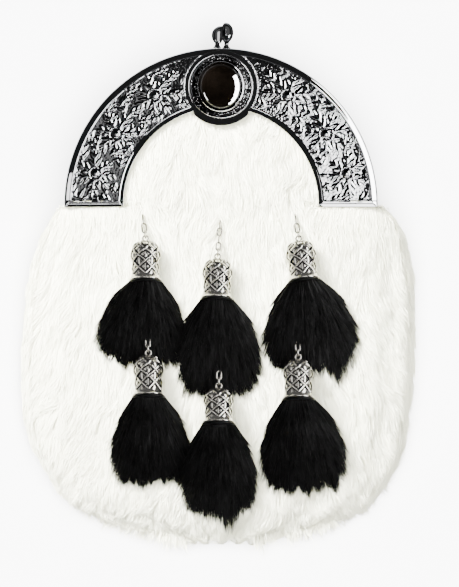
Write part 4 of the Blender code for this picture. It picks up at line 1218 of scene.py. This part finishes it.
def laidOver(solid, roots, lean, step, overhang):
    # leads each hair over the pelt a step at a time; gives its stations, and which way is up
    paths, ups = np.empty((2, len(roots), peltForm["stations"], 3))
    at, free = roots.copy(), np.zeros(len(roots), bool)
    for k in range(peltForm["stations"]):
        fx, fy = flowAt(at[:, 0], at[:, 1])
        fx, fy = fx * np.cos(lean) - fy * np.sin(lean), fx * np.sin(lean) + fy * np.cos(lean)
        for i in range(len(roots)):
            place, face, _, _ = solid.find_nearest(Vector(at[i]))
            if face.z < -0.3 or free[i]:  # past the edge: a short free end
                place, face = Vector(at[i]), Vector((0.0, 0.0, 1.0))
                if not free[i]:
                    free[i] = True
                    step[i] *= overhang[i]
            run = Vector((fx[i], fy[i], 0.0))
            run -= face * run.dot(face)
            paths[i, k], ups[i, k] = place, face
            at[i] = place + run.normalized() * step[i]
    return paths, ups


def peltHair():
    form = peltForm
    hairs, count = form["hairs"], form["tufts"]
    random = np.random.default_rng(form["seed"])
    roots, solid = peltRoots(random)
    # the hair stands in tufts, each with its own height, length and lean
    seeds = np.stack([random.uniform(*form[way], count) for way in ("acrossX", "alongY")],
                     axis=-1)
    tufts = KDTree(count)
    for k, (x, y) in enumerate(seeds):
        tufts.insert((x, y, 0.0), k)
    tufts.balance()
    owner = np.array([tufts.find((x, y, 0.0))[1] for x, y, _ in roots])
    tuftShift = seeds[owner] - roots[:, :2]
    tuftLift = random.uniform(*form["tuftLift"], count)[owner]
    tuftLean = random.normal(0.0, form["tuftLean"], count)[owner]
    lengths = random.uniform(*form["length"], hairs)
    lengths *= random.uniform(*form["tuftLength"], count)[owner]
    inward = edgeDistance(roots[:, 0], roots[:, 1])
    lengths *= form["edgeShort"] + (1.0 - form["edgeShort"]) * smooth(inward / form["edgeReach"])
    overhang = random.uniform(*form["overhang"], hairs)
    lean = tuftLean + random.normal(0.0, form["lean"], hairs)
    paths, ups = laidOver(solid, roots, lean, lengths / (form["stations"] - 1), overhang)
    lift = np.array(form["lift"]) * tuftLift[:, None]
    lift *= random.uniform(*form["liftVaries"], (hairs, 1))
    lift *= 0.6 + 0.4 * smooth(inward / 16.0)[:, None]
    paths += ups * lift[:, :, None]
    t = np.linspace(0.0, 1.0, form["stations"])
    gather = form["gather"] * smooth(inward / 14.0)[:, None] * t ** 1.3  # the edge stays even
    paths[:, :, :2] += gather[:, :, None] * tuftShift[:, None, :]
    overhead = overheadTree()
    for at in paths.transpose(1, 2, 0):
        at[2] = np.minimum(at[2], ceilingOver(at[0], at[1], overhead) - form["gap"])
    paths[:, :, 2] = np.maximum(paths[:, :, 2], form["floorZ"])
    paths[:, :, 1] += hemRise(paths[:, :, 1])
    sideways = acrossPath(paths, ups, random.normal(0.0, form["roll"], hairs))
    widths = form["width"] * random.uniform(0.7, 1.3, hairs)
    # each hair's tone differs at random; the darker ones paint soft streak shading
    shade = 0.35 + 0.65 * random.uniform(size=hairs)
    halves = np.array_split(np.argsort(roots[:, 1]), 2)
    for label, chosen in zip(("Lower", "Upper"), halves):
        makeHair("peltHair" + label, whiteHair, "fur_pelt", paths[chosen], widths[chosen],
                 sideways[chosen], form["taper"], shade[chosen])


peltSkin()
peltHair()
print("pelt done")


# Floor, light and camera

def shadeFloor():
    corners = np.array([(-1, -1, 0), (1, -1, 0), (1, 1, 0), (-1, 1, 0)]) * studio["floorHalf"] * metre
    mesh = bpy.data.meshes.new("paleFloor")
    mesh.from_pydata(corners.tolist(), [], [(0, 1, 2, 3)])
    floor = inScene("paleFloor", mesh)
    material, tree, shader = newMaterial("palePaper", (0.72, 0.72, 0.72), 0.9)
    paper = addNoise(tree, objectCoords(tree), 40.0, 4.0)
    feed(shader, {"Base Color": addRamp(tree, paper, [(0.2, 0.71), (0.8, 0.74)]),
                  "Specular IOR Level": 0.0})
    floor.data.materials.append(material)
    floor.visible_glossy = False


studio = {
    "floorHalf": 3000.0, "room": 0.015, "ground": 0.38, "backdrop": 10.0,
    "softboxes": [
        # name, place in mm, target in mm, width, height, radiance, lights what
        ("fillOverhead", (-350, 450, 1500), (0, -30, 0), 1700, 1700, 22.0, "matt"),
        ("keyUpperLeft", (-900, 850, 1300), (0, -30, 0), 520, 520, 420.0, "matt"),
        ("floorGlow", (0, 0, 2900), (0, 0, 0), 3600, 3600, 42.0, "floor"),
        ("boxOverRight", (880, -470, 3100), (880, -470, 0), 1220, 1660, 5.0, "metal"),
        ("boxOverLeft", (-740, 0, 3100), (-740, 0, 0), 880, 2600, 0.2, "metal"),
        ("boxRight", (1100, 230, 720), (0, 0, 20), 1900, 420, 14.0, "metal"),
        ("boxLeft", (-1100, -60, 950), (0, 0, 20), 640, 200, 2.2, "metal"),
        ("stripLow", (0, -1900, 950), (0, 0, 20), 2200, 200, 7.0, "metal"),
        ("stripFoot", (1060, -1900, 480), (1060, 0, 20), 2000, 300, 5.0, "metal"),
        ("stripBottom", (0, -1150, 3100), (0, -1150, 0), 2000, 420, 1.2, "metal"),
        ("coneLeft", (-1300, 200, 900), (0, -60, 20), 1800, 1300, 0.62, "silver"),
        ("coneRight", (1300, 100, 900), (0, -60, 20), 1800, 1300, 0.5, "silver"),
        ("coneOver", (-200, 1000, 2500), (0, -60, 20), 700, 1700, 1.7, "silver"),
        ("claspOver", (520, 0, 1100), (0, 88, 20), 1300, 1300, 1.1, "claspFront"),
        ("claspLow", (-900, -500, 420), (0, 88, 20), 620, 520, 1.4, "claspFront"),
        ("claspSide", (-700, 0, 800), (0, 88, 20), 1200, 460, 2.4, "claspBack"),
        ("claspDim", (0, 200, 1500), (0, 88, 20), 3400, 3400, 0.07, "clasp"),
    ],
    "round": ("boxLeft",),
    # the stone's crescent: bearing round it, height over the table, width, radiance
    "crescent": [(24.0, 17.0, 380, 900.0), (4.0, 18.0, 380, 900.0), (-16.0, 17.0, 380, 900.0),
                 (-36.0, 14.0, 360, 900.0), (-53.0, 9.0, 320, 700.0), (208.0, 5.0, 420, 500.0)],
    "glowAway": 1000.0, "glowLow": 90.0,
    "cameraHeight": 3000.0, "viewHeight": 293.5, "middle": (4.25, -44.25), "focusZ": 30.0,
    "sensor": 36.0, "clipEnd": 20.0,
}


def aimed(thing, place, target):
    thing.location = Vector((np.array(place, float) + arcCentre) * metre)
    look = Vector((np.array(target, float) + arcCentre) * metre) - thing.location
    thing.rotation_euler = look.to_track_quat("-Z", "Y").to_euler()


def lightRoom():
    world = bpy.data.worlds.new("studio")
    world.use_nodes = True
    tree = world.node_tree
    look = addNode(tree, "TexCoord").outputs["Generated"]
    level = addNode(tree, "SeparateXYZ", {"Vector": look}).outputs["Z"]
    height = addNode(tree, "MapRange", {"Value": level, "From Min": -1.0}).outputs["Result"]
    # silver sees a dark room above, and pale ground a little below the horizon
    dark, ground, room = studio["room"], studio["ground"], tree.nodes["Background"]
    stops = [(0.2, dark), (0.3, ground), (0.47, ground), (0.5, dark)]
    feed(room, {"Color": (0.95, 0.97, 1.0, 1.0), "Strength": addRamp(tree, height, stops)})
    pale = addNode(tree, "Background", {"Color": (1.0, 1.0, 1.0, 1.0),
                                        "Strength": studio["backdrop"]})
    ray = addNode(tree, "LightPath").outputs["Is Camera Ray"]
    pick = addNode(tree, "MixShader", {"Fac": ray, 1: room.outputs["Background"],
                                       2: pale.outputs["Background"]})
    feed(tree.nodes["World Output"], {"Surface": pick.outputs["Shader"]})
    bpy.context.scene.world = world


def lightStudio():
    for name, place, target, width, height, radiance, kind in studio["softboxes"]:
        box = softbox(name, place, target, width, height, radiance)
        box.visible_glossy = kind not in ("matt", "floor")
        box.visible_diffuse = kind in ("matt", "floor")
        own = {"silver": ("bellCone", "chainLinks"), "floor": ("paleFloor",)}
        # the stone and the clasp keep out of the large boxes, the floor out of the matt ones
        out = {"matt": ("paleFloor",), "metal": ("domedStone", "clasp")}.get(kind)
        lightOnly(box, out or own.get(kind, kind), bool(out))
    middle = 0.5 * sum(nodeBox("stone"))
    away = studio["glowAway"]
    for k, (bearing, over, width, radiance) in enumerate(studio["crescent"]):
        turn, tip = math.radians(bearing), math.radians(over)
        place = middle + away * np.array([math.cos(turn) * math.cos(tip),
                                          math.sin(turn) * math.cos(tip), math.sin(tip)])
        high = 2.0 * away * math.sin(tip) if bearing < 180.0 else studio["glowLow"]
        box = softbox("stoneGlow%d" % (k + 1), place, middle, width, high, radiance)
        box.visible_diffuse = False
        lightOnly(box, ("domedStone",))


def softbox(name, place, target, width, height, radiance):
    lamp = bpy.data.lights.new(name, "AREA")
    lamp.shape = "ELLIPSE" if name in studio["round"] else "RECTANGLE"
    lamp.size, lamp.size_y = width * metre, height * metre
    lamp.energy = radiance * math.pi * lamp.size * lamp.size_y
    box = inScene(name, lamp)
    aimed(box, place, target)
    box.visible_camera = False
    return box


def lightOnly(box, names, allBut=False):
    # a lamp that falls on these pieces alone, or on all but these
    lit = bpy.data.collections.new(box.name + "Falls")
    for piece in bpy.data.objects:
        if piece.name.startswith(names):
            lit.objects.link(piece)
    for link in lit.collection_objects:
        link.light_linking.link_state = "EXCLUDE" if allBut else "INCLUDE"
    box.light_linking.receiver_collection = lit


def placeCamera():
    # it looks straight down, as far off as makes the view's height fill the frame
    lens = bpy.data.cameras.new("camera")
    reach = studio["cameraHeight"] - studio["focusZ"]
    lens.sensor_width = studio["sensor"]
    lens.lens = lens.sensor_width * reach / studio["viewHeight"]
    lens.clip_end = studio["clipEnd"]
    camera = inScene("camera", lens)
    place = np.array([*studio["middle"], studio["cameraHeight"]])
    camera.location = Vector((place + arcCentre) * metre)
    bpy.context.scene.camera = camera


shadeFloor()
lightRoom()
lightStudio()
placeCamera()
print("studio set")
